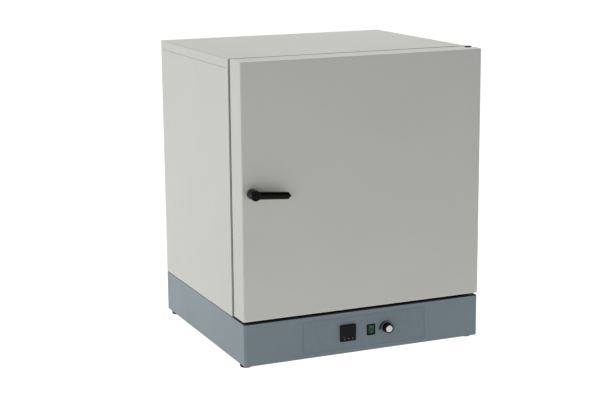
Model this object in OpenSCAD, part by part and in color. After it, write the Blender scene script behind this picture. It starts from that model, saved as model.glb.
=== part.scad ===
// Dry heat sterilizer: an insulated oven cabinet with a fan behind a baffle, standing on a plinth
// that holds the controls. A thick insulated door hangs on two pivot brackets at its right edge
// and is held shut by a lever latch at its left edge.
// X runs to the right, Y to the back and Z up, in millimetres. Zero is on the bench, under the
// middle of the whole depth and width. Inside the modules, Y is counted from the door's front.

/* [Overall] */
// Width across case, door and plinth
overall_w = 740; // [700:1:860]
// Depth of the case behind the door gap
case_d = 572; // [560:1:680]
// Height of the case, from deck to roof
case_h = 728; // [700:1:860]
// Height of the plinth shell
plinth_h = 120; // [110:1:160]
// Height of the rubber feet
foot_h = 10; // [8:0.5:20]
// Radius of the rubber feet
foot_r = 18; // [14:0.5:20]
// Sheet thickness of the case panels
case_sheet = 1.2; // [0.8:0.1:2]
// Sheet thickness of the plinth
plinth_sheet = 1.5; // [1:0.1:2.5]
// Outside radius of the plinth's folded front corners
plinth_fold = 8; // [4:0.5:10]
// Width of the turned-in edges of the case panels
case_return = 20; // [12:1:24]
// Depth of the roof's turned-down edge
roof_flange = 26; // [20:1:34]
// Outside radius of the roof's folded edges
roof_fold = 3; // [2:0.5:5]
// Gap between the roof's edge and the panels under it
seam_gap = 1.6; // [0.8:0.1:2]

/* [Chamber] */
// Insulation at each side of the chamber
side_wool = 66.6; // [50:0.1:80]
// Insulation over the chamber
roof_wool = 64.8; // [50:0.1:80]
// Height of the chamber's floor over the deck
floor_wool = 67; // [60:1:75]
// Insulation behind the chamber
back_wool = 60; // [50:1:70]
// Space for the fan motor, behind the heat shield
motor_space = 56; // [52:1:70]
// Thickness of the stainless liner
liner_sheet = 1; // [0.7:0.1:1.5]
// Depth of the fan space behind the baffle
fan_space = 65; // [60:1:75]

/* [Door] */
// Thickness of the door pan
door_t = 76; // [70:1:90]
// Gap between the door pan and the case
door_gap = 15; // [14:0.5:18]
// Gap between the door and the plinth's deck
door_lift = 6; // [5.5:0.5:9]
// How far the door stands above the roof
door_rise = 0; // [0:0.5:3]
// Sheet thickness of the door pan
door_sheet = 1.2; // [0.8:0.1:1.6]
// Outside radius of the door's folded edges
door_fold = 4; // [2:0.5:5]
// How far the inner panel's plug reaches into the chamber
plug_reach = 5; // [3:0.5:8]
// Clearance round the plug
plug_clear = 8; // [6:0.5:12]
// Width of the silicone seal
seal_w = 14; // [10:0.5:18]

/* [Hinge] */
// Distance of the pivot from the door's right edge
pivot_inset = 12; // [11:0.5:14]
// Distance of the pivot behind the door's front
pivot_back = 56; // [54:1:60]
// Radius of the pivot pins
pivot_pin_r = 4; // [3:0.5:5]
// Radius of the cap over the top pivot
pivot_cap_r = 10; // [8:0.5:10]
// Thickness of the bracket plates
bracket_t = 3; // [2.5:0.5:3.5]
// Width of the bracket plates
bracket_w = 18; // [16:1:19]

/* [Latch] */
// Distance of the lever's spindle from the door's left edge
latch_inset = 28; // [26:1:32]
// Radius of the lever's hub
hub_r = 14.5; // [12:0.5:16]
// How far the lever stands out from the door
lever_reach = 34; // [30:1:44]
// Length of the lever from spindle to tip
lever_len = 101; // [80:1:130]
// Height of the lever's arm
lever_h = 20; // [14:0.5:22]
// Radius of the spindle
spindle_r = 5; // [4:0.5:6]

/* [Controls] */
// Place of the temperature controller, from the middle
controller_x = -54.5; // [-80:0.5:-40]
// Place of the power switch, from the middle
switch_x = 19.3; // [10:0.5:30]
// Place of the thermostat knob, from the middle
knob_x = 70.3; // [60:0.5:90]
// Size of the controller's square bezel
bezel_size = 48; // [46:1:50]
// Width of the switch
switch_w = 25.8; // [24:0.1:28]
// Height of the switch
switch_h = 32; // [30:0.5:36]
// Radius of the thermostat knob
knob_r = 15; // [12:0.5:18]
// How far the knob stands out from the plinth
knob_reach = 17; // [14:0.5:22]
// Width of the film on the control panel
film_w = 390; // [300:1:420]
// Height of the film on the control panel
film_h = 97; // [70:1:100]

/* [Rear] */
// Radius of the exhaust tube's bore
exhaust_r = 19; // [15:0.5:25]
// Radius of the mains cable's way through the gland
cable_r = 4.5; // [3.5:0.25:5.5]
// How far the cable gland stands out at the back
gland_reach = 24; // [20:1:30]

/* [Shelves] */
// Gap between the door's plug and a shelf
shelf_gap = 26; // [24:1:60]
// Radius of the shelf's rim rod
rim_r = 3; // [2.5:0.25:4]
// Radius of the shelf's wires
wire_r = 1.75; // [1.25:0.25:2.5]
// Number of wires across a shelf
wire_count = 21; // [11:2:31]
// Height between two ledges of the rack
ledge_pitch = 110; // [90:1:120]

/* [Hidden] */

$fn = 48;
eps = 0.01;
through = 1;          // how far a cutting tool stands out of what it cuts
slip = 0.3;           // clearance between pieces that move past each other
bearing_clear = 0.05; // radial clearance of a shaft in its bearing
snug = 0.1;           // clearance of a piece that is put in and stays

half_w = overall_w / 2;
case_front = door_t + door_gap;
case_back = case_front + case_d;
deck_t = 2;
deck_inset = 3;
plinth_top = foot_h + plinth_h;
deck_top = plinth_top + deck_t;
roof_z = deck_top + case_h;
door_z0 = deck_top + door_lift;
door_z1 = roof_z + door_rise;
mid_z = (door_z0 + door_z1) / 2;
// Y of the door's front when the whole depth is centred on zero
front_y = (lever_reach - case_back - gland_reach) / 2;

side_face = half_w - case_sheet;
panel_top = roof_z - roof_flange - seam_gap;
frame_front = case_front + case_sheet;
fascia_front = frame_front + case_sheet;
fascia_t = 1.5;
liner_front = fascia_front + fascia_t;
shield_t = 1;
shield_back = case_back - motor_space;
wool_back = shield_back - shield_t;
liner_back = wool_back - back_wool;
chamber_back = liner_back - liner_sheet;
wool_front = liner_front + liner_sheet;
wool_side = side_face - case_sheet;
wool_z0 = deck_top + case_sheet;
wool_z1 = roof_z - roof_fold - case_sheet;
half_c = wool_side - side_wool - liner_sheet;
chamber_z0 = deck_top + floor_wool + liner_sheet;
chamber_z1 = wool_z1 - roof_wool - liner_sheet;
chamber_h = chamber_z1 - chamber_z0;
fan_z = (chamber_z0 + chamber_z1) / 2;
baffle_y = chamber_back - fan_space;

control_z = foot_h + plinth_h / 2;
film_t = 0.3;

// A box from one corner to the opposite one
module span(lo, hi) {
    translate(lo) cube([hi[0] - lo[0], hi[1] - lo[1], hi[2] - lo[2]]);
}

// A round bar along Y, from y0 to y1
module bar_y(r, y0, y1, x = 0, z = 0) {
    translate([x, y0, z]) rotate([-90, 0, 0]) cylinder(r = r, h = y1 - y0);
}

// A six-sided bar along Y, from y0 to y1, as a spanner holds it
module hex_y(r, y0, y1, x = 0, z = 0) {
    translate([x, y0, z]) rotate([-90, 0, 0]) cylinder(r = r, h = y1 - y0, $fn = 6);
}

// A round bar along X, from x0 to x1
module bar_x(r, x0, x1, y = 0, z = 0) {
    translate([x0, y, z]) rotate([0, 90, 0]) cylinder(r = r, h = x1 - x0);
}

// A flat shape drawn in X and Z, given a thickness from y0 to y1
module plate_y(y0, y1) {
    translate([0, y1, 0]) rotate([90, 0, 0]) linear_extrude(y1 - y0) children();
}

// A rectangle with round corners, centred
module round_rect(w, h, r) {
    square([w - 2 * r, h], center = true);
    square([w, h - 2 * r], center = true);
    for (x = [-1, 1], y = [-1, 1]) translate([x * (w / 2 - r), y * (h / 2 - r)]) circle(r);
}

// The same in X and Z, from y0 to y1, centred on x and z
module pad_y(w, h, r, y0, y1, x = 0, z = 0) {
    translate([x, 0, z]) plate_y(y0, y1) round_rect(w, h, r);
}

// A plan outline whose two corners at y0 are folded to a radius
module fold_plan(w, y0, y1, r) {
    translate([-w / 2, y0 + r]) square([w, y1 - y0 - r]);
    translate([-w / 2 + r, y0]) square([w - 2 * r, r + eps]);
    for (s = [-1, 1]) translate([s * (w / 2 - r), y0 + r]) circle(r);
}

// A block from -x to x whose four edges at y0 are folded to a radius
module folded_block(x, y0, y1, z0, z1, r) {
    intersection() {
        translate([0, 0, z0]) linear_extrude(z1 - z0) fold_plan(2 * x, y0, y1, r);
        translate([-x, 0, (z0 + z1) / 2]) rotate([0, 0, 90]) rotate([90, 0, 0])
            linear_extrude(2 * x) rotate(-90) fold_plan(z1 - z0, y0, y1, r);
    }
}

// A pan-head screw along Y, its head's flat seat at y and its shank running towards +Y
module screw_y(x, y, z, r, len) {
    head_h = r * 1.1;
    translate([x, y, z]) rotate([-90, 0, 0]) {
        cylinder(r = r, h = len);
        translate([0, 0, -head_h]) cylinder(r1 = r * 1.5, r2 = r * 2, h = head_h);
    }
}

// The same, put in from the back
module rear_screw_y(x, y, z, r, len) {
    translate([x, y, z]) rotate([0, 0, 180]) screw_y(0, 0, 0, r, len);
}

// Plinth

plinth_lip = 14;
foot_x = half_w - 19;
foot_y0 = 39;
foot_y1 = case_back - 36;
foot_bevel = 1;
foot_screw_r = 2.5;
panel_screw_r = 2;
panel_screw_x = half_w - 10;
panel_screw_z = [control_z - plinth_h / 2 + 11, control_z + plinth_h / 2 - 11];
panel_screw_len = 6;
cutout_r = 1;
cutout = bezel_size - 3;
switch_cut_w = switch_w - 3;
switch_cut_h = switch_h - 3;
thermostat_bush_r = 5;
relay_x = 150;
relay_y = case_back - 343;
floor_slot_count = 6;
floor_slot_pitch = 24;
floor_slot_w = 8;
floor_slot_len = 120;
floor_slot_x = relay_x - 120;

// The three cut-outs of the control panel
module control_cutouts(y0, y1) {
    pad_y(cutout, cutout, cutout_r, y0, y1, controller_x, control_z);
    pad_y(switch_cut_w, switch_cut_h, cutout_r, y0, y1, switch_x, control_z);
    bar_y(thermostat_bush_r + snug, y0, y1, knob_x, control_z);
}

module panel_screw_holes(y0, y1) {
    for (s = [-1, 1], z = panel_screw_z) bar_y(panel_screw_r + snug, y0, y1, s * panel_screw_x, z);
}

module plinth_shell() {
    s = plinth_sheet;
    lip_x = half_w - s - plinth_lip;
    color("slategray") difference() {
        translate([0, 0, foot_h]) linear_extrude(plinth_h)
            fold_plan(overall_w, 0, case_back - s, plinth_fold);
        // hollow, with turned-in lips at the top, the bottom and the back
        translate([0, 0, foot_h + 2 * s]) linear_extrude(plinth_h - 3 * s)
            fold_plan(overall_w - 2 * s, s, case_back - 2 * s, plinth_fold - s);
        translate([0, 0, foot_h - eps]) linear_extrude(s + eps)
            fold_plan(overall_w - 2 * s, s, case_back, plinth_fold - s);
        span([-lip_x, s + plinth_lip, foot_h - eps], [lip_x, case_back, plinth_top + eps]);
        span([-lip_x, case_back - 2 * s - eps, foot_h + s + plinth_lip],
            [lip_x, case_back, plinth_top - s - plinth_lip]);
        control_cutouts(-through, s + through);
        panel_screw_holes(case_back - 2 * s - through, case_back);
    }
}

module plinth_floor() {
    s = plinth_sheet;
    color("silver") difference() {
        translate([0, 0, foot_h]) linear_extrude(s)
            fold_plan(overall_w - 2 * (s + snug), s + snug, case_back - 2 * s, plinth_fold - s);
        for (x = [-1, 1], y = [foot_y0, foot_y1])
            translate([x * foot_x, y, foot_h - through])
                cylinder(r = foot_screw_r + snug, h = s + 2 * through);
        // air slots beside the heatsink
        for (i = [0 : floor_slot_count - 1])
            translate([floor_slot_x + (i - floor_slot_count / 2) * floor_slot_pitch,
                relay_y - floor_slot_len / 2, foot_h - through])
                cube([floor_slot_w, floor_slot_len, s + 2 * through]);
    }
}

// Pressed louvres: an opening with a hood that slopes out towards the back
louvre_out = 6;
louvre_rise = 9;
louvre_lip = 2;

module louvre_hood(w, x, y, z, t) {
    top = louvre_rise + louvre_lip;
    translate([x - w / 2, y, z]) rotate([90, 0, 90]) linear_extrude(w)
        polygon([[0, 0], [0, t], [louvre_out - t, louvre_rise], [louvre_out - t, top], [louvre_out, top],
            [louvre_out, louvre_rise - t], [t / 2, 0]]);
}

module louvre_slot(w, x, y, z, t) {
    span([x - w / 2 + t, y - t - through, z + 1.5 * t], [x + w / 2 - t, y + through, z + louvre_rise - t / 2]);
}

plinth_vent_rows = 5;
plinth_vent_pitch = 15;
plinth_vent_x = -120;
plinth_vent_w = 160;
gland_x = half_w - 90;
gland_thread_r = 8;
function plinth_vent_z(i) = control_z - (plinth_vent_rows / 2 - i) * plinth_vent_pitch;

module plinth_back_panel() {
    s = plinth_sheet;
    color("slategray") {
        difference() {
            span([-half_w + snug, case_back - s, foot_h + snug],
                [half_w - snug, case_back, plinth_top - snug]);
            for (i = [0 : plinth_vent_rows - 1])
                louvre_slot(plinth_vent_w, plinth_vent_x, case_back, plinth_vent_z(i), s);
            bar_y(gland_thread_r + snug, case_back - s - through, case_back + through, gland_x, control_z);
            panel_screw_holes(case_back - s - through, case_back + through);
        }
        for (i = [0 : plinth_vent_rows - 1])
            louvre_hood(plinth_vent_w, plinth_vent_x, case_back - eps, plinth_vent_z(i), s);
    }
}

wire_way_r = 12;
wire_way_x = -140;
wire_way_y = shield_back + 25;

module plinth_deck() {
    color([0.05, 0.05, 0.05]) difference() {
        span([-half_w + deck_inset, deck_inset, plinth_top],
            [half_w - deck_inset, case_back - deck_inset, deck_top]);
        translate([wire_way_x, wire_way_y, plinth_top - through])
            cylinder(r = wire_way_r, h = deck_t + 2 * through);
    }
}

module rubber_feet() {
    color([0.06, 0.06, 0.06]) for (x = [-1, 1], y = [foot_y0, foot_y1])
        translate([x * foot_x, y, 0]) rotate_extrude() difference() {
            polygon([[0, 0], [foot_r - 2 * foot_bevel, 0], [foot_r - foot_bevel, foot_bevel],
                [foot_r, foot_h], [0, foot_h]]);
            translate([0, -through]) square([foot_screw_r + snug, foot_h + 2 * through]);
            translate([0, -through]) square([foot_r / 2, foot_h / 2 + through]);
        }
}

// Case

rear_screw_x = half_w - 12;
screw_rows = [deck_top + 30, (deck_top + roof_z) / 2, panel_top - 30];

module frame_screw_holes() {
    for (p = frame_screws) bar_y(panel_screw_r + snug, case_front - 5, wool_front, p[0], p[1]);
}

// A side pan, flush with the roof's edge, with a joggled top that laps behind that edge
module side_panel(side) {
    s = case_sheet;
    color("gainsboro") difference() {
        mirror([side > 0 ? 0 : 1, 0, 0]) difference() {
            union() {
                span([half_w - case_return, frame_front, deck_top], [half_w, case_back - s, panel_top]);
                span([half_w - case_return, frame_front, panel_top - s - eps],
                    [side_face, case_back - s, roof_z - roof_fold]);
            }
            span([half_w - case_return - through, frame_front + s, deck_top + s],
                [side_face, case_back - 2 * s, panel_top - s]);
            span([half_w - case_return - through, frame_front + s, panel_top - s - through],
                [side_face - s, case_back - 2 * s, roof_z - roof_fold - s]);
            for (z = screw_rows) bar_y(panel_screw_r + snug, case_back - 3 * s, case_back, rear_screw_x, z);
        }
        frame_screw_holes();
    }
}

// The roof: a shallow tray turned over, with folded edges
module top_panel() {
    s = case_sheet;
    color("gainsboro") difference() {
        rotate([-90, 0, 0]) difference() {
            folded_block(half_w, -roof_z, roof_flange - roof_z, case_front, case_back, roof_fold);
            folded_block(side_face, s - roof_z, roof_flange - roof_z + through, frame_front, case_back - s,
                roof_fold - s);
        }
        frame_screw_holes();
    }
}

exhaust_x = half_c - 100;
exhaust_z = chamber_z1 - 70;
exhaust_wall = 1;
motor_vent_w = 150;
motor_vent_rows = 8;
motor_vent_pitch = 18;
function motor_vent_z(i) = fan_z - (motor_vent_rows / 2 - i) * motor_vent_pitch;

module back_panel() {
    s = case_sheet;
    lap_x = half_w - case_return - slip;
    color("gainsboro") {
        difference() {
            union() {
                span([-half_w, case_back - s, deck_top], [half_w, case_back, panel_top]);
                span([-lap_x, case_back - 2 * s, panel_top - roof_flange],
                    [lap_x, case_back - s + eps, panel_top]);
                span([-lap_x, case_back - 2 * s, panel_top - eps],
                    [lap_x, case_back - s - snug, roof_z - roof_fold]);
            }
            for (i = [0 : motor_vent_rows - 1]) louvre_slot(motor_vent_w, 0, case_back, motor_vent_z(i), s);
            bar_y(exhaust_r + exhaust_wall + snug, case_back - 2 * s - through, case_back + through,
                exhaust_x, exhaust_z);
            for (x = [-1, 1], z = screw_rows)
                bar_y(panel_screw_r + snug, case_back - s - through, case_back + through, x * rear_screw_x, z);
        }
        for (i = [0 : motor_vent_rows - 1]) louvre_hood(motor_vent_w, 0, case_back - eps, motor_vent_z(i), s);
    }
}

module front_frame() {
    color("gainsboro") difference() {
        span([-wool_side, fascia_front, wool_z0], [wool_side, liner_front, wool_z1]);
        span([-half_c, fascia_front - through, chamber_z0], [half_c, liner_front + through, chamber_z1]);
        frame_screw_holes();
    }
}

// Chamber

liner_flange = 15;
shaft_r = 4;
shaft_hole = 8;
heater_r = 4.2;
heater_ring_r = 108;
heater_leg_x = 20;
heater_gap = asin(heater_leg_x / heater_ring_r);
heater_leg_z = fan_z - heater_ring_r * cos(heater_gap);
probe_r = 3;
probe_collar_r = 6;
probe_collar_t = 6;
probe_x = -120;
bulb_x = -90;
probe_z = chamber_z1 - 20;
probe_reach = 25;

// The ways through the back wall: shaft, exhaust, two heater legs and two probes
module back_ways(y0, y1) {
    bar_y(shaft_hole, y0, y1, 0, fan_z);
    bar_y(exhaust_r + exhaust_wall + snug, y0, y1, exhaust_x, exhaust_z);
    for (s = [-1, 1]) bar_y(heater_r + snug, y0, y1, s * heater_leg_x, heater_leg_z);
    for (x = [probe_x, bulb_x]) bar_y(probe_r + snug, y0, y1, x, probe_z);
}

module chamber_liner() {
    t = liner_sheet;
    color("lightsteelblue") difference() {
        union() {
            span([-half_c - t, liner_front, chamber_z0 - t], [half_c + t, liner_back, chamber_z1 + t]);
            span([-half_c - liner_flange, liner_front, chamber_z0 - liner_flange],
                [half_c + liner_flange, wool_front, chamber_z1 + liner_flange]);
        }
        span([-half_c, liner_front - through, chamber_z0], [half_c, chamber_back, chamber_z1]);
        back_ways(chamber_back - through, liner_back + through);
    }
}

module insulation_side(side) {
    color("khaki") mirror([side > 0 ? 0 : 1, 0, 0])
        span([half_c + liner_sheet, wool_front, chamber_z0 - liner_sheet],
            [wool_side, wool_back, chamber_z1 + liner_sheet]);
}

module insulation_top() {
    color("khaki") span([-wool_side, wool_front, chamber_z1 + liner_sheet], [wool_side, wool_back, wool_z1]);
}

module insulation_bottom() {
    color("khaki") span([-wool_side, wool_front, wool_z0], [wool_side, wool_back, chamber_z0 - liner_sheet]);
}

module insulation_back() {
    color("khaki") difference() {
        span([-half_c - liner_sheet, liner_back, chamber_z0 - liner_sheet],
            [half_c + liner_sheet, wool_back, chamber_z1 + liner_sheet]);
        back_ways(liner_back - through, wool_back + through);
    }
}

module heat_shield() {
    color("silver") difference() {
        span([-wool_side, wool_back, wool_z0], [wool_side, shield_back, wool_z1]);
        back_ways(wool_back - through, shield_back + through);
    }
}

// Shelf racks: two uprights a side, with ledges across them
plug_back = liner_front + plug_reach;
rack_t = 6;
ledge_w = 18;
ledge_t = 1.5;
ledge_lip = 8;
rack_margin = 60;
shelf_back = baffle_y - 4;
shelf_front = plug_back + shelf_gap;
ledge_z0 = chamber_z0 + rack_margin;
ledge_count = floor((chamber_h - 2 * rack_margin) / ledge_pitch) + 1;
upright_w = 20;
upright_y = [shelf_front + 25, shelf_back - 45];
upright_z0 = chamber_z0 + rack_margin / 3;
upright_z1 = ledge_z0 + (ledge_count - 1) * ledge_pitch + rack_margin * 2 / 3;
hook_slot_w = 6;
hook_slot_h = 20;
function ledge_z(i) = ledge_z0 + i * ledge_pitch;
function hook_z(i) = ledge_z(i) + ledge_pitch / 2;

module shelf_rack(side) {
    x1 = half_c - rack_t;
    color("silver") mirror([side > 0 ? 0 : 1, 0, 0]) {
        for (y = upright_y) difference() {
            span([x1, y, upright_z0], [half_c, y + upright_w, upright_z1]);
            // the slots that the liner's hooks go into
            for (i = [0 : ledge_count - 2])
                span([x1 - through, y + (upright_w - hook_slot_w) / 2, hook_z(i) - hook_slot_h / 2],
                    [half_c + through, y + (upright_w + hook_slot_w) / 2, hook_z(i) + hook_slot_h / 2]);
        }
        for (i = [0 : ledge_count - 1]) {
            span([x1 - ledge_w, shelf_front, ledge_z(i) - ledge_t], [x1 + eps, shelf_back, ledge_z(i)]);
            span([x1 - ledge_t, shelf_front, ledge_z(i) - ledge_lip], [x1 + eps, shelf_back, ledge_z(i)]);
        }
    }
}

// Wire shelf: a rim rod bent round four corners, wires from front to back and a cross rod
shelf_side_gap = 4;
shelf_x = half_c - rack_t - shelf_side_gap - rim_r;
corner_r = 14;
weld_sink = 0.8;
wire_over = 1;
lower_ledge = 1;
upper_ledge = 3;

module quarter_bend(r, rod) {
    rotate_extrude(angle = 90) translate([r, 0]) circle(rod, $fn = 24);
}

module shelf(i) {
    x1 = shelf_x;
    y0 = shelf_front + rim_r;
    y1 = shelf_back - rim_r;
    bend_x = x1 - corner_r;
    wire_z = rim_r + wire_r - weld_sink;
    pitch = 2 * bend_x / (wire_count - 1);
    color("silver") translate([0, 0, ledge_z(i) + slip + rim_r]) {
        for (y = [y0, y1]) bar_x(rim_r, -bend_x, bend_x, y);
        for (s = [-1, 1]) bar_y(rim_r, y0 + corner_r, y1 - corner_r, s * x1);
        translate([bend_x, y1 - corner_r, 0]) quarter_bend(corner_r, rim_r);
        translate([-bend_x, y1 - corner_r, 0]) rotate([0, 0, 90]) quarter_bend(corner_r, rim_r);
        translate([-bend_x, y0 + corner_r, 0]) rotate([0, 0, 180]) quarter_bend(corner_r, rim_r);
        translate([bend_x, y0 + corner_r, 0]) rotate([0, 0, 270]) quarter_bend(corner_r, rim_r);
        bar_x(rim_r, -x1 + wire_over, x1 - wire_over, (y0 + y1) / 2);
        for (k = [0 : wire_count - 1])
            bar_y(wire_r, y0 - wire_over, y1 + wire_over, -bend_x + k * pitch, wire_z);
    }
}

// Fan, baffle and heater

fan_r = 80;
blade_count = 24;
blade_w = 30;
blade_t = 1.2;
blade_arc = 18;
ring_w = 20;
impeller_t = 1.2;
impeller_back = chamber_back - 14;
boss_r = 13;
boss_front = 18;
boss_back = 4;
baffle_t = 1;
baffle_gap = 2;
baffle_x = half_c - baffle_gap;
baffle_hole_r = 4;
baffle_pitch = 13;
intake_r = 64;
intake_rows = 5;
outlet_w = 30;
outlet_h = 8;
outlet_in = 40;
outlet_count = 10;
outlet_end = 55;
outlet_pitch = (chamber_h - 2 * outlet_end) / outlet_count;
baffle_screw_x = half_c - 14;
baffle_screw_z = [chamber_z0 + 14, chamber_z1 - 14];

module fan_baffle() {
    y0 = baffle_y - through;
    y1 = baffle_y + baffle_t + through;
    color("lightsteelblue") difference() {
        span([-baffle_x, baffle_y, chamber_z0 + baffle_gap],
            [baffle_x, chamber_back, chamber_z1 - baffle_gap]);
        span([-baffle_x + baffle_t, baffle_y + baffle_t, chamber_z0],
            [baffle_x - baffle_t, chamber_back + through, chamber_z1]);
        // the intake in front of the fan: round holes in a hexagonal pattern
        for (j = [-intake_rows : intake_rows], i = [-intake_rows : intake_rows]) {
            x = (i + (abs(j) % 2) / 2) * baffle_pitch;
            z = j * baffle_pitch * sqrt(3) / 2;
            if (norm([x, z]) < intake_r) bar_y(baffle_hole_r, y0, y1, x, fan_z + z);
        }
        // the outlets down both sides
        for (s = [-1, 1], i = [0 : outlet_count - 1]) {
            x = s * (baffle_x - outlet_in);
            z = fan_z + (i - (outlet_count - 1) / 2) * outlet_pitch;
            span([x - outlet_w / 2, y0, z - outlet_h / 2], [x + outlet_w / 2, y1, z + outlet_h / 2]);
        }
        for (x = [probe_x, bulb_x]) bar_y(probe_r + 1, y0, y1, x, probe_z);
        for (x = [-1, 1], z = baffle_screw_z) bar_y(panel_screw_r + snug, y0, y1, x * baffle_screw_x, z);
    }
}

heater_leg_out = 12;

module heater_ring() {
    y = impeller_back - blade_w / 2;
    color("dimgray") {
        translate([0, y, fan_z]) rotate([90, 90 + heater_gap, 0]) rotate_extrude(angle = 360 - 2 * heater_gap)
            translate([heater_ring_r, 0]) circle(heater_r, $fn = 24);
        for (s = [-1, 1])
            bar_y(heater_r, y - heater_r, shield_back + heater_leg_out, s * heater_leg_x, heater_leg_z);
    }
}

// Fan motor: a laminated stack round its can, on four pillars and a foot plate
motor_plate = 96;
motor_plate_t = 2;
motor_stack = 62;
motor_stack_y0 = shield_back + 12;
motor_stack_y1 = shield_back + 30;
motor_can_r = 24;
motor_can_y0 = shield_back + 8;
motor_can_y1 = case_back - 18;
motor_nose_r = 12;
motor_bell_r = 9;
motor_bell_t = 4;
pillar_r = 4;
shaft_depth = 26;

module fan_motor() {
    y0 = shield_back;
    color("dimgray") difference() {
        translate([0, 0, fan_z]) {
            pad_y(motor_plate, motor_plate, 6, y0, y0 + motor_plate_t);
            for (x = [-1, 1], z = [-1, 1])
                bar_y(pillar_r, y0, motor_stack_y0 + motor_plate_t, x * motor_plate / 4, z * motor_plate / 4);
            pad_y(motor_stack, motor_stack, 3, motor_stack_y0, motor_stack_y1);
            bar_y(motor_can_r, motor_can_y0, motor_can_y1);
            bar_y(motor_nose_r, y0, motor_can_y0 + 1);
            bar_y(motor_bell_r, motor_can_y1 - 1, motor_can_y1 + motor_bell_t);
        }
        bar_y(shaft_r + bearing_clear, y0 - through, y0 + shaft_depth, 0, fan_z);
    }
}

// Impeller: a back plate with a boss, curved blades round its rim and a ring in front
module fan_impeller() {
    y1 = impeller_back;
    y0 = y1 - blade_w;
    color("lightsteelblue") translate([0, 0, fan_z]) {
        difference() {
            union() {
                bar_y(fan_r, y1 - impeller_t, y1);
                bar_y(boss_r, y1 - boss_front, y1 + boss_back);
            }
            bar_y(shaft_r + snug / 2, y1 - blade_w, y1 + boss_back + through);
        }
        plate_y(y0 - impeller_t, y0) difference() {
            circle(fan_r);
            circle(fan_r - ring_w);
        }
        plate_y(y0 - eps, y1 - impeller_t + eps) intersection() {
            difference() {
                circle(fan_r - 1);
                circle(fan_r - ring_w + 1);
            }
            for (k = [0 : blade_count - 1]) rotate(k * 360 / blade_count)
                translate([fan_r - ring_w / 2, -blade_arc]) difference() {
                    circle(blade_arc + blade_t / 2, $fn = 64);
                    circle(blade_arc - blade_t / 2, $fn = 64);
                    translate([0, -3 * blade_arc]) square(6 * blade_arc, center = true);
                }
        }
    }
    color("silver") bar_y(shaft_r, y1 - boss_front - 4, shield_back + shaft_depth - 2, 0, fan_z);
}

// A probe through the back wall, with a collar behind the shield
module probe(x) {
    bar_y(probe_r, baffle_y - probe_reach, shield_back + 15, x, probe_z);
    bar_y(probe_collar_r, shield_back, shield_back + probe_collar_t, x, probe_z);
}

module temperature_probe() {
    color("silver") probe(probe_x);
}

module thermostat_bulb() {
    color("peru") probe(bulb_x);
}

// Exhaust: a flanged tube with an ear, and a damper that swings aside on a pin in that ear
exhaust_flange_t = 1.5;
exhaust_flange_r = exhaust_r + 11;
damper_arm = exhaust_flange_r + 8;
damper_t = 1.5;
damper_r = exhaust_r + 6;
damper_pin_r = 2;
damper_head_r = 4;
damper_head_t = 2.5;
damper_knob_r = 5;
damper_knob_t = 12;
ear_r = 7;

// The strip from the exhaust's middle to the ear, between y0 and y1
module exhaust_ear(y0, y1) {
    span([exhaust_x, y0, exhaust_z - ear_r], [exhaust_x + damper_arm, y1, exhaust_z + ear_r]);
    bar_y(ear_r, y0, y1, exhaust_x + damper_arm, exhaust_z);
}

module exhaust_tube() {
    y1 = case_back + exhaust_flange_t;
    color("silver") difference() {
        union() {
            bar_y(exhaust_r + exhaust_wall, chamber_back, y1, exhaust_x, exhaust_z);
            bar_y(exhaust_flange_r, case_back, y1, exhaust_x, exhaust_z);
            exhaust_ear(case_back, y1);
        }
        bar_y(exhaust_r, chamber_back - through, y1 + through, exhaust_x, exhaust_z);
        bar_y(damper_pin_r + bearing_clear, case_back - through, y1 + through,
            exhaust_x + damper_arm, exhaust_z);
    }
}

module exhaust_damper() {
    y0 = case_back + exhaust_flange_t + slip;
    y1 = y0 + damper_t;
    color("silver") {
        bar_y(damper_r, y0, y1, exhaust_x, exhaust_z);
        exhaust_ear(y0, y1);
        bar_y(damper_pin_r, case_back, y1 + eps, exhaust_x + damper_arm, exhaust_z);
        bar_y(damper_head_r, y1 - eps, y1 + damper_head_t, exhaust_x + damper_arm, exhaust_z);
        bar_y(damper_knob_r, y1 - eps, y1 + damper_knob_t, exhaust_x - exhaust_r + 4, exhaust_z);
    }
}

// Door hinges

pivot_x = half_w - pivot_inset;
pivot_pin_len = 13;
pivot_cap_t = 2;
bush_flange_t = 1;
bush_r = pivot_pin_r + 2;
bush_flange_r = bush_r + 3;
bush_len = pivot_pin_len - 2;
pocket_z = door_z1 - bracket_t - bush_flange_t - 0.5;
pocket_y = pivot_back - 16;
pocket_x = pivot_x - bracket_w / 2 - 3;
block_t = 10;
washer_t = 1;
bottom_plate_z = door_z0 - bush_flange_t - washer_t - bracket_t;
bracket_screws_x = [pivot_x - 3.8, pivot_x + 4.4];
bottom_leg_h = 32;
top_screw_z = roof_z - roof_flange / 2;
bottom_screw_z = bottom_plate_z + bottom_leg_h - 10;

// A strip with a round end at the pivot, running back to the case
module bracket_plan(y1) {
    translate([pivot_x - bracket_w / 2, pivot_back]) square([bracket_w, y1 - pivot_back]);
    translate([pivot_x, pivot_back]) circle(bracket_w / 2);
}

// The upright leg that is screwed to the case
module bracket_leg(y1, z0, z1) {
    span([pivot_x - bracket_w / 2, y1 - bracket_t, z0], [pivot_x + bracket_w / 2, y1, z1]);
}

module top_pivot_bracket() {
    z0 = door_z1 - bracket_t;
    difference() {
        union() {
            color("gainsboro") translate([0, 0, z0]) linear_extrude(bracket_t) bracket_plan(case_front);
            color("gainsboro") bracket_leg(case_front, roof_z - roof_flange + 2, door_z1);
            color([0.1, 0.1, 0.1]) translate([pivot_x, pivot_back, z0 - pivot_pin_len])
                cylinder(r = pivot_pin_r, h = pivot_pin_len + eps);
            color([0.1, 0.1, 0.1]) translate([pivot_x, pivot_back, door_z1 - eps])
                cylinder(r = pivot_cap_r, h = pivot_cap_t);
        }
        frame_screw_holes();
    }
}

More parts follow.
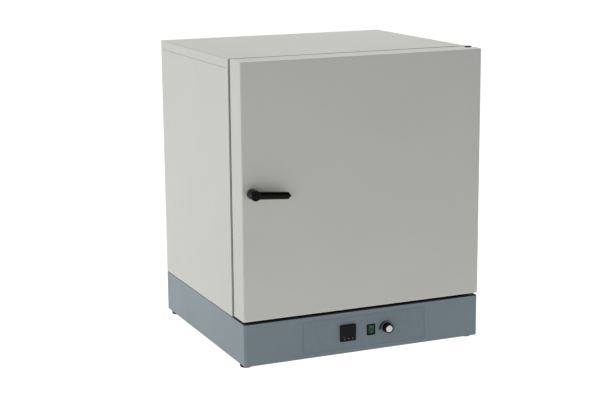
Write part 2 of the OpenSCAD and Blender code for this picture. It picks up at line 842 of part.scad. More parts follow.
module bottom_pivot_bracket() {
    z0 = bottom_plate_z;
    color("gainsboro") difference() {
        union() {
            translate([0, 0, z0]) linear_extrude(bracket_t) bracket_plan(frame_front);
            bracket_leg(frame_front, z0, z0 + bottom_leg_h);
            translate([pivot_x, pivot_back, z0]) cylinder(r = pivot_pin_r, h = bracket_t + pivot_pin_len);
        }
        frame_screw_holes();
    }
}

module thrust_washer() {
    color("goldenrod") translate([pivot_x, pivot_back, bottom_plate_z + bracket_t]) difference() {
        cylinder(r = bush_flange_r, h = washer_t - slip / 2);
        translate([0, 0, -through]) cylinder(r = pivot_pin_r + bearing_clear, h = washer_t + 2 * through);
    }
}

module pivot_blocks() {
    color("dimgray") for (z = [door_z0 + door_sheet, pocket_z - door_sheet - block_t])
        difference() {
            span([pocket_x + door_sheet, pocket_y + door_sheet, z],
                [half_w - door_sheet, door_t - door_sheet, z + block_t]);
            translate([pivot_x, pivot_back, z - through])
                cylinder(r = bush_r + snug / 2, h = block_t + 2 * through);
        }
}

// A flanged bush round an axis along Z: its flange starts at zero and its barrel runs down from it
module pivot_bush() {
    difference() {
        union() {
            cylinder(r = bush_flange_r, h = bush_flange_t);
            translate([0, 0, -bush_len]) cylinder(r = bush_r, h = bush_len + eps);
        }
        translate([0, 0, -bush_len - through])
            cylinder(r = pivot_pin_r + bearing_clear, h = bush_len + bush_flange_t + 2 * through);
    }
}

latch_x = -half_w + latch_inset;
panel_t = 1;
panel_front = door_t;
panel_back = panel_front + panel_t;
spindle_bush_r = spindle_r + 2;
spindle_bush_len = 8;
spindle_flange_t = 1;

// Four nylon bushes in the door: one at each pivot, and one at each end of the lever's spindle
module door_bushes() {
    color("ivory") {
        translate([pivot_x, pivot_back, pocket_z]) pivot_bush();
        translate([pivot_x, pivot_back, door_z0]) mirror([0, 0, 1]) pivot_bush();
        difference() {
            union() {
                bar_y(spindle_bush_r, -eps, spindle_bush_len, latch_x, mid_z);
                bar_y(spindle_bush_r + 4, -spindle_flange_t, 0, latch_x, mid_z);
                bar_y(spindle_bush_r, panel_front - spindle_bush_len, panel_back + eps, latch_x, mid_z);
                bar_y(spindle_bush_r + 2, panel_back, panel_back + spindle_flange_t, latch_x, mid_z);
            }
            bar_y(spindle_r + bearing_clear, -2 * through, door_t + 5, latch_x, mid_z);
        }
    }
}

// Door

panel_edge = 14;
plug_x = half_c - plug_clear;
plug_z0 = chamber_z0 + plug_clear;
plug_z1 = chamber_z1 - plug_clear;
plug_fold = 4;
sleeve_r = spindle_bush_r + 1.5;
door_screw_r = 1.75;
door_screw_at = [-0.75, -0.25, 0.25, 0.75];
door_return = panel_edge + 6;
door_screw_z = [door_z0 + panel_edge + 3, door_z1 - panel_edge - 3];
fill_gap = 4;

// The pocket under the top bracket, open to the back, the side and the top
module pivot_pocket(grow) {
    span([pocket_x - grow, pocket_y - grow, pocket_z - grow], [half_w + 5, door_t + 5, door_z1 + 5]);
}

module door_screw_holes() {
    for (x = door_screw_at, z = door_screw_z)
        bar_y(door_screw_r + snug, door_t - 5, door_t + 5, x * half_w, z);
}

// The plug's block, folded round at the back
module folded_plug(x, y0, y1, z0, z1, r) {
    translate([0, y0 + y1, 0]) mirror([0, 1, 0]) folded_block(x, y0, y1, z0, z1, r);
}

module door_skin() {
    s = door_sheet;
    color("gainsboro") difference() {
        folded_block(half_w, 0, door_t, door_z0, door_z1, door_fold);
        difference() {
            folded_block(half_w - s, s, door_t - s, door_z0 + s, door_z1 - s, door_fold - s);
            pivot_pocket(s);
        }
        span([-half_w + door_return, door_t - 2 * s, door_z0 + door_return],
            [half_w - door_return, door_t + through, door_z1 - door_return]);
        pivot_pocket(0);
        bar_y(spindle_bush_r + snug / 2, -through, s + through, latch_x, mid_z);
        bar_y(sleeve_r + snug, door_t - 2 * s, door_t + through, latch_x, mid_z);
        for (z = [door_z0, pocket_z - s]) translate([pivot_x, pivot_back, z - through])
            cylinder(r = bush_r + snug / 2, h = s + 2 * through);
        door_screw_holes();
    }
}

module door_insulation() {
    s = door_sheet;
    p = panel_t + snug;
    fill_z0 = door_z0 + s + block_t + fill_gap;
    fill_z1 = pocket_z - s - block_t - fill_gap;
    color("khaki") difference() {
        union() {
            translate([0, 0, fill_z0]) linear_extrude(fill_z1 - fill_z0)
                fold_plan(2 * (half_w - 2 * s), s + slip, door_t - s, door_fold - s);
            folded_plug(plug_x - p, door_t - s - eps, plug_back - p, plug_z0 + p, plug_z1 - p,
                plug_fold - panel_t);
        }
        bar_y(sleeve_r + snug, 0, door_t + through, latch_x, mid_z);
    }
}

// The pressed inner panel: a flat border with a tray that reaches into the chamber
module door_inner_panel() {
    t = panel_t;
    bx = half_w - panel_edge;
    color("lightsteelblue") difference() {
        union() {
            span([-bx, panel_front, door_z0 + panel_edge], [bx, panel_back, door_z1 - panel_edge]);
            folded_plug(plug_x, panel_front, plug_back, plug_z0, plug_z1, plug_fold);
        }
        folded_plug(plug_x - t, panel_front - through, plug_back - t, plug_z0 + t, plug_z1 - t, plug_fold - t);
        bar_y(spindle_bush_r + snug / 2, panel_front - through, panel_back + through, latch_x, mid_z);
        door_screw_holes();
    }
}

module door_screws() {
    color("silver") for (x = door_screw_at, z = door_screw_z)
        rear_screw_y(x * half_w, panel_back, z, door_screw_r, panel_t + door_sheet);
}

seal_y1 = fascia_front - slip;
seal_gap = 6;
seal_foot_t = 3;
seal_foot_edge = 2;
seal_bulb_r = 4;

// The seal's profile: a foot held down on the panel, and a hollow bulb that meets the case
module door_seal() {
    x0 = half_c + seal_gap;
    x1 = x0 + seal_w;
    z0 = chamber_z0 - seal_gap;
    z1 = chamber_z1 + seal_gap;
    e = seal_foot_edge;
    color([0.35, 0.33, 0.31]) {
        difference() {
            span([-x1, panel_back, z0 - seal_w], [x1, panel_back + seal_foot_t, z1 + seal_w]);
            span([-x0, panel_back - through, z0], [x0, panel_back + seal_foot_t + through, z1]);
        }
        difference() {
            folded_plug(x1 - e, panel_back + seal_foot_t - eps, seal_y1, z0 - seal_w + e, z1 + seal_w - e,
                seal_bulb_r);
            span([-x0 - e, panel_back, z0 - e], [x0 + e, seal_y1 + through, z1 + e]);
        }
    }
}

// Latch

module spindle_sleeve() {
    color("silver") difference() {
        bar_y(sleeve_r, door_sheet, panel_front, latch_x, mid_z);
        bar_y(spindle_bush_r + snug / 2, 0, panel_front + through, latch_x, mid_z);
    }
}

hub_base = -spindle_flange_t - slip;
hub_chamfer = 2;
arm_t = 13;
arm_front = -lever_reach;
arm_back = arm_front + arm_t;
arm_droop = 4.5;
arm_taper = 1;
arm_fillet = 16;
tip_len = 5;
bevel_h = 5.5;
bevel_d = 3.5;
spindle_hole_front = arm_front + 8;

// The arm from hub to tip: fillets that flow out of the hub, a slight taper and a blunt point
module arm_outline() {
    root_h = lever_h / 2;
    tip_h = root_h - arm_taper;
    reach = hub_r + arm_fillet;
    fillet_z = root_h + arm_fillet;
    fillet_x = sqrt(reach * reach - fillet_z * fillet_z);
    for (s = [0, 1]) mirror([0, s]) difference() {
        polygon([[0, 0], [fillet_x * hub_r / reach, fillet_z * hub_r / reach], [fillet_x, root_h + eps],
            [fillet_x, 0]]);
        translate([fillet_x, fillet_z]) circle(arm_fillet, $fn = 96);
    }
    polygon([[0, -root_h], [fillet_x, -root_h], [lever_len - tip_len, -tip_h], [lever_len, -tip_h / 4],
        [lever_len, tip_h / 4], [lever_len - tip_len, tip_h], [fillet_x, root_h], [0, root_h]]);
}

// The arm's section in Y and Z: a flat front between two bevels
module arm_section(h, depth, rise) {
    polygon([[arm_front, -h / 2 + rise], [arm_front + depth, -h / 2], [arm_back, -h / 2],
        [arm_back, h / 2], [arm_front + depth, h / 2], [arm_front, h / 2 - rise]]);
}

module lever_handle() {
    color([0.03, 0.03, 0.03]) translate([latch_x, 0, mid_z]) rotate([0, arm_droop, 0]) difference() {
        union() {
            bar_y(hub_r, arm_front + hub_chamfer, hub_base);
            translate([0, arm_front + hub_chamfer + eps, 0]) rotate([90, 0, 0])
                cylinder(r1 = hub_r, r2 = hub_r - hub_chamfer, h = hub_chamfer + eps);
            intersection() {
                plate_y(arm_front, arm_back) arm_outline();
                rotate([90, 0, 90]) linear_extrude(lever_len + through) arm_section(lever_h, bevel_d, bevel_h);
            }
            intersection() {
                plate_y(arm_front + bevel_d, arm_back) arm_outline();
                rotate([90, 0, 90]) linear_extrude(lever_len / 2)
                    arm_section(2 * hub_r, bevel_d, bevel_h);
            }
        }
        bar_y(spindle_r + snug / 2, spindle_hole_front, through, 0, 0);
    }
}

cam_y = panel_back + 4;
cam_t = 4;
cam_hub_r = 9;
cam_reach = 18;
cam_w = 12;
nut_r = 7;
nut_t = 4;

module latch_spindle() {
    cam_back = cam_y + cam_t;
    color("silver") {
        bar_y(spindle_r, spindle_hole_front + 1, cam_back + nut_t + 1, latch_x, mid_z);
        hex_y(nut_r, cam_back, cam_back + nut_t, latch_x, mid_z);
    }
}

// The cam hangs down when the lever is level, and swings behind the keeper as the lever goes down
module latch_cam() {
    color("dimgray") translate([latch_x, 0, mid_z]) difference() {
        union() {
            bar_y(cam_hub_r, cam_y, cam_y + cam_t);
            span([-cam_w / 2, cam_y, -cam_reach + cam_w / 2], [cam_w / 2, cam_y + cam_t, 0]);
            bar_y(cam_w / 2, cam_y, cam_y + cam_t, 0, -cam_reach + cam_w / 2);
        }
        bar_y(spindle_r + snug / 2, cam_y - through, cam_y + cam_t + through);
    }
}

keeper_t = 2;
keeper_x = latch_x - cam_reach - 3;
keeper_w = 13;
keeper_h = 64;
keeper_screw_z = [mid_z - keeper_h / 2 + 8, mid_z + keeper_h / 2 - 8];
hook_h = 24;
hook_reach = 8;

// Keeper: a flat foot on the case, with a raised lip that the cam goes behind
module latch_keeper() {
    z0 = mid_z - hook_h / 2;
    z1 = mid_z + hook_h / 2;
    hook_back = cam_y - slip - 0.5;
    hook_front = hook_back - keeper_t;
    color("silver") difference() {
        union() {
            span([keeper_x, frame_front - keeper_t, mid_z - keeper_h / 2],
                [keeper_x + keeper_w, frame_front, mid_z + keeper_h / 2]);
            span([keeper_x, hook_front, z0], [keeper_x + keeper_t, frame_front, z1]);
            span([keeper_x, hook_front, z0], [keeper_x + keeper_t + hook_reach, hook_back, z1]);
        }
        frame_screw_holes();
    }
}

// Fasteners

// The screws that hold both brackets and the keeper go through the case's front: x and z of each
frame_screws = concat([for (x = bracket_screws_x) [x, top_screw_z]],
    [for (x = bracket_screws_x) [x, bottom_screw_z]],
    [for (z = keeper_screw_z) [keeper_x + keeper_w / 2, z]]);
foot_screw_len = 10;
foot_head_t = 3;

module foot_screw() {
    cylinder(r = foot_screw_r, h = foot_h / 2 + foot_screw_len);
    translate([0, 0, -foot_head_t]) cylinder(r1 = foot_screw_r * 1.5, r2 = foot_screw_r * 2, h = foot_head_t);
}

module case_screws() {
    r = panel_screw_r;
    frame_end = wool_front - slip;
    color("silver") {
        for (x = bracket_screws_x) {
            screw_y(x, case_front - bracket_t, top_screw_z, r, frame_end - case_front + bracket_t);
            screw_y(x, frame_front - bracket_t, bottom_screw_z, r, frame_end - frame_front + bracket_t);
        }
        for (z = keeper_screw_z)
            screw_y(keeper_x + keeper_w / 2, frame_front - keeper_t, z, r, frame_end - frame_front + keeper_t);
        for (x = [-1, 1], z = screw_rows) rear_screw_y(x * rear_screw_x, case_back, z, r, panel_screw_len);
        for (x = [-1, 1], z = panel_screw_z) rear_screw_y(x * panel_screw_x, case_back, z, r, panel_screw_len);
        // long screws through the baffle's front, down to the chamber's back wall
        for (x = [-1, 1], z = baffle_screw_z) screw_y(x * baffle_screw_x, baffle_y, z, r, fan_space);
        for (x = [-1, 1], y = [foot_y0, foot_y1]) translate([x * foot_x, y, foot_h / 2]) foot_screw();
    }
}

// Controls

module control_film() {
    color("slategray") difference() {
        pad_y(film_w, film_h, 6, -film_t, 0, 0, control_z);
        control_cutouts(-through, through);
    }
}

bezel_t = 6;
bezel_r = 2;
bezel_step = 1;
bezel_face = -film_t - bezel_t;
controller_back = 74;
window_w = bezel_size - 12;
window_h = bezel_size - 20;
window_z = control_z + 5.5;
window_deep = 0.3;
key_w = 8;
key_h = 5;
key_pitch = 12;
key_count = 3;
key_z = control_z - bezel_size / 2 + 8.5;
key_proud = 0.8;
key_deep = 2;
key_travel = 0.6;

module key_block(k, grow, y0, y1) {
    x = controller_x + (k - (key_count - 1) / 2) * key_pitch;
    pad_y(key_w + 2 * grow, key_h + 2 * grow, 1, y0, y1, x, key_z);
}

module temperature_controller() {
    body = cutout - 2 * snug;
    front = bezel_size - 2 * bezel_step;
    color([0.07, 0.07, 0.08]) difference() {
        union() {
            pad_y(bezel_size, bezel_size, bezel_r, bezel_face + bezel_step, -film_t, controller_x, control_z);
            pad_y(front, front, bezel_r, bezel_face, bezel_face + 2 * bezel_step, controller_x, control_z);
            pad_y(body, body, cutout_r, -film_t - eps, controller_back, controller_x, control_z);
        }
        pad_y(window_w, window_h, 1, bezel_face - through, bezel_face + bezel_step, controller_x, window_z);
        for (k = [0 : key_count - 1])
            key_block(k, slip, bezel_face - through, bezel_face + key_deep + key_travel);
    }
}

module controller_window() {
    color([0.02, 0.02, 0.02]) pad_y(window_w - snug, window_h - snug, 1, bezel_face + window_deep,
        bezel_face + bezel_step, controller_x, window_z);
}

module controller_key(k) {
    color([0.12, 0.12, 0.13]) key_block(k, 0, bezel_face - key_proud, bezel_face + key_deep - slip);
}

rocker_w = switch_w - 7;
rocker_h = switch_h - 8;
rocker_tilt = 8;
rocker_pivot_y = 5;
rocker_back = 3;
rocker_heel = 4;
rocker_proud = 0.4;
switch_rim = 2;
switch_face = -film_t - switch_rim;
switch_back = 26;
rocker_well = 14;
axle_r = 2;
axle_over = 1.2;

module rocker_axle(grow) {
    reach = rocker_w / 2 + axle_over + grow;
    bar_x(axle_r + grow, switch_x - reach, switch_x + reach, rocker_pivot_y, control_z);
}

module power_switch_housing() {
    w = switch_cut_w - 2 * snug;
    h = switch_cut_h - 2 * snug;
    color([0.04, 0.04, 0.04]) difference() {
        union() {
            pad_y(switch_w, switch_h, switch_rim, switch_face, -film_t, switch_x, control_z);
            pad_y(w, h, cutout_r, -film_t - eps, switch_back, switch_x, control_z);
        }
        pad_y(rocker_w + 2 * slip, rocker_h + 3, 0.5, switch_face - through, rocker_well, switch_x, control_z);
        rocker_axle(bearing_clear);
    }
}

// The rocker: two flat faces that meet in a shallow valley, over a keel on its axle
module power_rocker() {
    h = rocker_h / 2;
    rise = h * tan(rocker_tilt);
    valley = switch_face - rocker_proud - rocker_pivot_y;
    heel = rocker_back - rocker_pivot_y;
    color([0, 0.35, 0.15]) {
        translate([switch_x - rocker_w / 2, rocker_pivot_y, control_z])
            rotate([90, 0, 90]) linear_extrude(rocker_w) rotate(-rocker_tilt)
                polygon([[valley, 0], [valley - rise, h], [heel, h], [rocker_heel, rocker_heel],
                    [rocker_heel, -rocker_heel], [heel, -h], [valley - rise, -h]]);
        rocker_axle(0);
    }
}

// Thermostat: a bush and a fixing plate, a round case and a square terminal part
knob_spindle_r = 3;
thermostat_plate_t = 2;
thermostat_r = 17;
thermostat_mid = 16;
thermostat_back = 30;

module safety_thermostat() {
    y0 = plinth_sheet;
    color("silver") difference() {
        union() {
            bar_y(thermostat_bush_r, -film_t, y0 + 2 * thermostat_plate_t, knob_x, control_z);
            pad_y(44, 34, 2, y0, y0 + thermostat_plate_t, knob_x, control_z);
            bar_y(thermostat_r, y0 + thermostat_plate_t - eps, y0 + thermostat_mid, knob_x, control_z);
            pad_y(30, 22, 2, y0 + thermostat_mid - 1, y0 + thermostat_back, knob_x, control_z);
        }
        bar_y(knob_spindle_r + bearing_clear, -3, y0 + thermostat_mid - 2, knob_x, control_z);
    }
}

// Knob: a fluted grip over a thin skirt, with a recess for its cap, on its own spindle
knob_flutes = 20;
flute_r = 1;
flute_out = 0.35;
shoulder_in = 0.7;
rim_in = 1.6;
skirt_t = 2.2;
grip_inset = 1.2;
knob_back = -film_t - slip;
knob_round = 1;
cap_r = knob_r - 4;
cap_t = 1;
cap_proud = 0.2;

module thermostat_knob() {
    grip_r = knob_r - grip_inset;
    front = -knob_reach + knob_round;
    color([0.03, 0.03, 0.03]) translate([knob_x, 0, control_z]) difference() {
        union() {
            bar_y(knob_r, knob_back - skirt_t, knob_back);
            plate_y(front, knob_back - skirt_t + 2 * snug) difference() {
                circle(grip_r);
                for (k = [0 : knob_flutes - 1]) rotate(k * 360 / knob_flutes)
                    translate([grip_r + flute_out, 0]) circle(flute_r, $fn = 16);
            }
            translate([0, front + eps, 0]) rotate([90, 0, 0])
                cylinder(r1 = grip_r - shoulder_in, r2 = grip_r - rim_in, h = knob_round + eps);
            bar_y(knob_spindle_r, knob_back - 1, plinth_sheet + thermostat_mid - 3);
        }
        bar_y(cap_r, -knob_reach - through, -knob_reach + cap_t);
    }
}

module knob_cap() {
    color("silver") bar_y(cap_r - snug / 2, -knob_reach - cap_proud, -knob_reach + cap_t, knob_x, control_z);
}

// Electrics in the plinth

inner_floor = foot_h + plinth_sheet;
sink_w = 80;
sink_len = 100;
sink_base_t = 6;
sink_top_t = 3;
fin_h = 24;
fin_t = 3;
fin_count = 8;
relay_w = 45;
relay_len = 58;
relay_h = 23;
relay_hole_r = 2.5;
relay_hole_pitch = 47;

module relay_heatsink() {
    fin_pitch = (sink_w - fin_t) / (fin_count - 1);
    color("silver") translate([relay_x - sink_w / 2, relay_y - sink_len / 2, inner_floor]) {
        cube([sink_w, sink_len, sink_base_t]);
        for (i = [0 : fin_count - 1])
            translate([i * fin_pitch, 0, sink_base_t - eps]) cube([fin_t, sink_len, fin_h]);
        translate([0, 0, sink_base_t + fin_h - 2 * eps]) cube([sink_w, sink_len, sink_top_t]);
    }
}

module solid_state_relay() {
    z0 = inner_floor + sink_base_t + fin_h + sink_top_t;
    color([0.1, 0.1, 0.1]) translate([relay_x, relay_y, z0]) difference() {
        translate([-relay_w / 2, -relay_len / 2, 0]) cube([relay_w, relay_len, relay_h]);
        for (s = [-1, 1]) translate([0, s * relay_hole_pitch / 2, -through])
            cylinder(r = relay_hole_r, h = relay_h + 2 * through);
    }
}

terminal_ways = 6;
terminal_pitch = 12;
terminal_w = 24;
terminal_h = 20;
terminal_x = gland_x - 90;
terminal_y = case_back - 110;
terminal_floor = 8;

module terminal_block() {
    color("ivory") translate([terminal_x, terminal_y, inner_floor]) difference() {
        cube([(terminal_ways + 1 / 3) * terminal_pitch, terminal_w, terminal_h]);
        for (i = [0 : terminal_ways - 1], y = [terminal_w / 4, terminal_w * 3 / 4])
            translate([(i + 2 / 3) * terminal_pitch, y, terminal_floor])
                cylinder(r = relay_hole_r, h = terminal_h);
    }
}

gland_hex_r = 12.5;
gland_hex_t = 6;
gland_dome_r = 10.5;
gland_mouth_r = 7;
gland_dome_t = 6;
locknut_t = 5;
thread_len = 8;

// The gland's body, and the locknut that holds it from inside
module cable_gland() {
    y0 = case_back;
    dome_y = y0 + gland_reach - gland_dome_t;
    nut_back = case_back - plinth_sheet;
    color([0.05, 0.05, 0.05]) {
        difference() {
            hex_y(gland_hex_r, nut_back - locknut_t, nut_back, gland_x, control_z);
            bar_y(gland_thread_r + snug / 2, nut_back - locknut_t - through, nut_back + through,
                gland_x, control_z);
        }
        difference() {
            union() {
                bar_y(gland_thread_r, nut_back - thread_len, y0 + through, gland_x, control_z);
                hex_y(gland_hex_r, y0, y0 + gland_hex_t, gland_x, control_z);
                bar_y(gland_dome_r, y0 + gland_hex_t - eps, dome_y, gland_x, control_z);
                translate([gland_x, dome_y - eps, control_z]) rotate([-90, 0, 0])
                    cylinder(r1 = gland_dome_r, r2 = gland_mouth_r, h = gland_dome_t + eps);
            }
            bar_y(cable_r, nut_back - thread_len - through, y0 + gland_reach + through, gland_x, control_z);
        }
    }
}

module placed() {
    translate([0, front_y, 0]) children();
}

placed() plinth_shell();
placed() plinth_floor();
placed() plinth_back_panel();
placed() plinth_deck();
placed() rubber_feet();
placed() side_panel(-1);  // side_panel_left
placed() side_panel(1);  // side_panel_right
placed() top_panel();
placed() back_panel();
placed() front_frame();
placed() chamber_liner();
placed() insulation_side(-1);  // insulation_left
placed() insulation_side(1);  // insulation_right
placed() insulation_top();
placed() insulation_bottom();
placed() insulation_back();
placed() heat_shield();
placed() shelf_rack(-1);  // shelf_rack_left
placed() shelf_rack(1);  // shelf_rack_right
placed() fan_baffle();
placed() heater_ring();
placed() fan_motor();
placed() temperature_probe();
placed() thermostat_bulb();
placed() exhaust_tube();
placed() top_pivot_bracket();
placed() bottom_pivot_bracket();
placed() thrust_washer();
placed() latch_keeper();
placed() case_screws();
placed() control_film();
placed() temperature_controller();
placed() controller_window();
placed() power_switch_housing();
placed() safety_thermostat();
placed() solid_state_relay();
placed() relay_heatsink();
placed() terminal_block();
placed() cable_gland();
placed() door_skin();
placed() door_insulation();
placed() door_inner_panel();
placed() door_seal();
placed() door_screws();
placed() pivot_blocks();
placed() door_bushes();
placed() spindle_sleeve();
placed() lever_handle();
placed() latch_spindle();
placed() latch_cam();
placed() fan_impeller();
placed() power_rocker();
placed() thermostat_knob();
placed() knob_cap();
placed() controller_key(0);  // set_key
placed() controller_key(1);  // down_key
placed() controller_key(2);  // up_key
placed() shelf(upper_ledge);  // shelf_upper
placed() shelf(lower_ledge);  // shelf_lower
placed() exhaust_damper();
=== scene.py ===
"""A bench oven that sterilizes with dry heat: its finishes, its small parts, and a plain studio round it."""
from math import atan2, cos, degrees, pi, radians, sin, sqrt, tan

import bmesh
import bpy
from mathutils import Matrix, Vector


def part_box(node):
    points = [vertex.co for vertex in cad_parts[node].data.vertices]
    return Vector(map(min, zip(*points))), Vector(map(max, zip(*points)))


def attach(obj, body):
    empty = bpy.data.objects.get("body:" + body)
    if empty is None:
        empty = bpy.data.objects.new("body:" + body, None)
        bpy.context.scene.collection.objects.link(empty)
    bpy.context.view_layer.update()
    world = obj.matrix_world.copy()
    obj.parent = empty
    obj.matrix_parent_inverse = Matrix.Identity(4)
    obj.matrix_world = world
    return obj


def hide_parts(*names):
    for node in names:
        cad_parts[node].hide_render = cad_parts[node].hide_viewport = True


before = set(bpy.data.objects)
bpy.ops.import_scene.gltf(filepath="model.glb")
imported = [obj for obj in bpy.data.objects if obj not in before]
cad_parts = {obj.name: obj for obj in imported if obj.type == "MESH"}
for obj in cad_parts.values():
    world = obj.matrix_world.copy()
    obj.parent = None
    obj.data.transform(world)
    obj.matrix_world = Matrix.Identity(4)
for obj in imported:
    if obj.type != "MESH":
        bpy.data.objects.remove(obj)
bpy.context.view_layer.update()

MM = 0.001


def mm(*values):
    return Vector(values) * MM


# Places taken from the frame, in metres

def corners(node):
    low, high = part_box(node)
    return low, high, (low + high) / 2


door_low = corners("door_skin")[0]
FRONT = door_low.y
lever_low, lever_high = corners("lever_handle")[:2]
spindle_mid = corners("latch_spindle")[2]
knob_low, knob_high, knob_mid = corners("thermostat_knob")
cap_low = corners("knob_cap")[0]
film_low, film_high, film_mid = corners("control_film")
controller_low, controller_high, controller_mid = corners("temperature_controller")
window_low, window_high, window_mid = corners("controller_window")
switch_mid = corners("power_switch_housing")[2]
washer_mid = corners("thrust_washer")[2]
bracket_low, bracket_high = corners("top_pivot_bracket")[:2]


# Colour and shader nodes

def srgb(code):
    """An sRGB hex colour as linear red, green, blue and alpha."""
    parts = [int(code[i:i + 2], 16) / 255 for i in (1, 3, 5)]
    linear = [c / 12.92 if c <= 0.04045 else ((c + 0.055) / 1.055) ** 2.4 for c in parts]
    return (*linear, 1.0)


def add(tree, kind, inputs=None, **settings):
    """Adds a shader node. A setting is an attribute; an input is a plain value, or a (node, output) pair."""
    made = tree.nodes.new("ShaderNode" + kind)
    for name, value in settings.items():
        setattr(made, name, value)
    for socket, value in (inputs or {}).items():
        if isinstance(value, tuple) and isinstance(value[0], bpy.types.Node):
            tree.links.new(value[0].outputs[value[1]], made.inputs[socket])
        else:
            made.inputs[socket].default_value = value
    return made


def begin(name, **surface):
    """A new material with one shader; surface sets the shader's own sockets."""
    material = bpy.data.materials.new(name)
    material.use_nodes = True
    tree = material.node_tree
    tree.nodes.clear()
    shader = add(tree, "BsdfPrincipled", {k.replace("_", " "): v for k, v in surface.items()})
    output = add(tree, "OutputMaterial")
    tree.links.new(shader.outputs["BSDF"], output.inputs["Surface"])
    return material, tree, shader


def place(tree, stretch=(1, 1, 1), centre=(0, 0, 0)):
    """The object's own coordinates in metres, centred and stretched for a pattern."""
    coordinates = add(tree, "TexCoord")
    return add(tree, "Mapping", {"Vector": (coordinates, "Object"), "Scale": stretch,
                                 "Location": tuple(-c * s for c, s in zip(centre, stretch))})


def noise(tree, where, size_mm, detail=2.0, rough=0.5):
    """Noise whose features are about size_mm across."""
    return add(tree, "TexNoise", {"Vector": (where, "Vector"), "Scale": 1 / (size_mm * MM), "Detail": detail,
                                  "Roughness": rough})


def spread(tree, source, output, low, high, from_low=0.3, from_high=0.7):
    """A pattern's value turned into the range that a socket takes."""
    return add(tree, "MapRange", {"Value": (source, output), "From Min": from_low, "From Max": from_high,
                                  "To Min": low, "To Max": high})


def tint(tree, source, output, first, second, low=0.3, high=0.7):
    """A pattern's value turned into a colour between two."""
    ramp = add(tree, "ValToRGB", {"Fac": (source, output)})
    ramp.color_ramp.elements[0].position = low
    ramp.color_ramp.elements[0].color = srgb(first)
    ramp.color_ramp.elements[1].position = high
    ramp.color_ramp.elements[1].color = srgb(second)
    return ramp


def colour(tree, shader, source, output="Color"):
    tree.links.new(source.outputs[output], shader.inputs["Base Color"])


def rough(tree, shader, source):
    tree.links.new(source.outputs["Result"], shader.inputs["Roughness"])


def bump(tree, shader, source, output, depth_mm, strength=1.0, below=None):
    """Relief of depth_mm from a pattern's value, over another relief if there is one."""
    inputs = {"Height": (source, output), "Distance": depth_mm * MM, "Strength": strength}
    if below:
        inputs["Normal"] = (below, "Normal")
    relief = add(tree, "Bump", inputs)
    tree.links.new(relief.outputs["Normal"], shader.inputs["Normal"])
    return relief


# Materials, each named for what the real one is

def powder_coat(name, main, shade, gloss, peel_mm=2.6, shine=0.5):
    """Polyester powder, sprayed dry and baked: a satin film whose orange peel breaks up reflections."""
    material, tree, shader = begin(name, IOR=1.5, Specular_IOR_Level=shine)
    where = place(tree)
    clouds = noise(tree, where, 140, 3)
    colour(tree, shader, tint(tree, clouds, "Fac", shade, main))
    peel = noise(tree, where, peel_mm, 2)
    rough(tree, shader, spread(tree, peel, "Fac", gloss - 0.04, gloss + 0.05))
    fine = noise(tree, where, 0.5, 1)
    first = bump(tree, shader, fine, "Fac", 0.006, 0.5)
    bump(tree, shader, peel, "Fac", 0.03, 0.6, first)
    return material


def brushed_steel(name, main, shade, along, gloss=0.3, grain_mm=0.5, length_mm=60):
    """Stainless sheet drawn under an abrasive belt: fine parallel lines that stretch each highlight."""
    material, tree, shader = begin(name, Metallic=1.0)
    share = grain_mm / length_mm
    where = place(tree, tuple(share if axis == along else 1.0 for axis in "XYZ"))
    lines = noise(tree, where, grain_mm, 3, 0.6)
    colour(tree, shader, tint(tree, lines, "Fac", shade, main, 0.25, 0.75))
    rough(tree, shader, spread(tree, lines, "Fac", gloss - 0.06, gloss + 0.08))
    bump(tree, shader, lines, "Fac", 0.004, 0.6)
    return material


def zinc_plate(name, main, shade, gloss=0.38):
    """Zinc on pressed steel, passivated: a soft grey metal with faint patches."""
    material, tree, shader = begin(name, Metallic=1.0)
    where = place(tree)
    patches = add(tree, "TexVoronoi", {"Vector": (where, "Vector"), "Scale": 1 / (5 * MM)})
    colour(tree, shader, tint(tree, patches, "Distance", main, shade, 0.1, 0.9))
    grain = noise(tree, where, 0.8, 3)
    rough(tree, shader, spread(tree, grain, "Fac", gloss - 0.08, gloss + 0.1))
    bump(tree, shader, grain, "Fac", 0.004, 0.5)
    return material


def moulded(name, main, shade, gloss, grain_mm=0.5, relief_mm=0.01, **surface):
    """Plastic or rubber from a mould: the tool's spark-eroded grain in a plain colour."""
    material, tree, shader = begin(name, **surface)
    where = place(tree)
    grain = noise(tree, where, grain_mm, 2)
    wear = noise(tree, where, 12, 3)
    colour(tree, shader, tint(tree, wear, "Fac", shade, main))
    rough(tree, shader, spread(tree, grain, "Fac", gloss - 0.05, gloss + 0.06))
    bump(tree, shader, grain, "Fac", relief_mm, 0.6)
    return material


def mineral_wool(name):
    """Resin-bonded rock wool slab: matted yellow fibres."""
    material, tree, shader = begin(name, Roughness=0.95, IOR=1.4)
    fibres = noise(tree, place(tree, (1, 0.2, 1)), 1.5, 5, 0.7)
    colour(tree, shader, tint(tree, fibres, "Fac", "#9A8A4E", "#D6C68A"))
    bump(tree, shader, fibres, "Fac", 0.8, 0.8)
    return material


def spun_aluminium(name, centre):
    """Aluminium turned on a lathe and clear anodised: fine rings round the middle."""
    material, tree, shader = begin(name, Metallic=1.0)
    where = place(tree, centre=centre)
    split = add(tree, "SeparateXYZ", {"Vector": (where, "Vector")})
    flat = add(tree, "CombineXYZ", {"X": (split, "X"), "Y": (split, "Z")})
    rings = add(tree, "TexWave", {"Vector": (flat, "Vector"), "Scale": 1 / (2.2 * MM), "Distortion": 0.4,
                                  "Detail": 2.0, "Detail Scale": 3.0}, wave_type="RINGS", rings_direction="Z")
    colour(tree, shader, tint(tree, rings, "Fac", "#BDB8B3", "#DAD5D0", 0.2, 0.8))
    rough(tree, shader, spread(tree, rings, "Fac", 0.34, 0.46))
    bump(tree, shader, rings, "Fac", 0.01, 0.5)
    return material


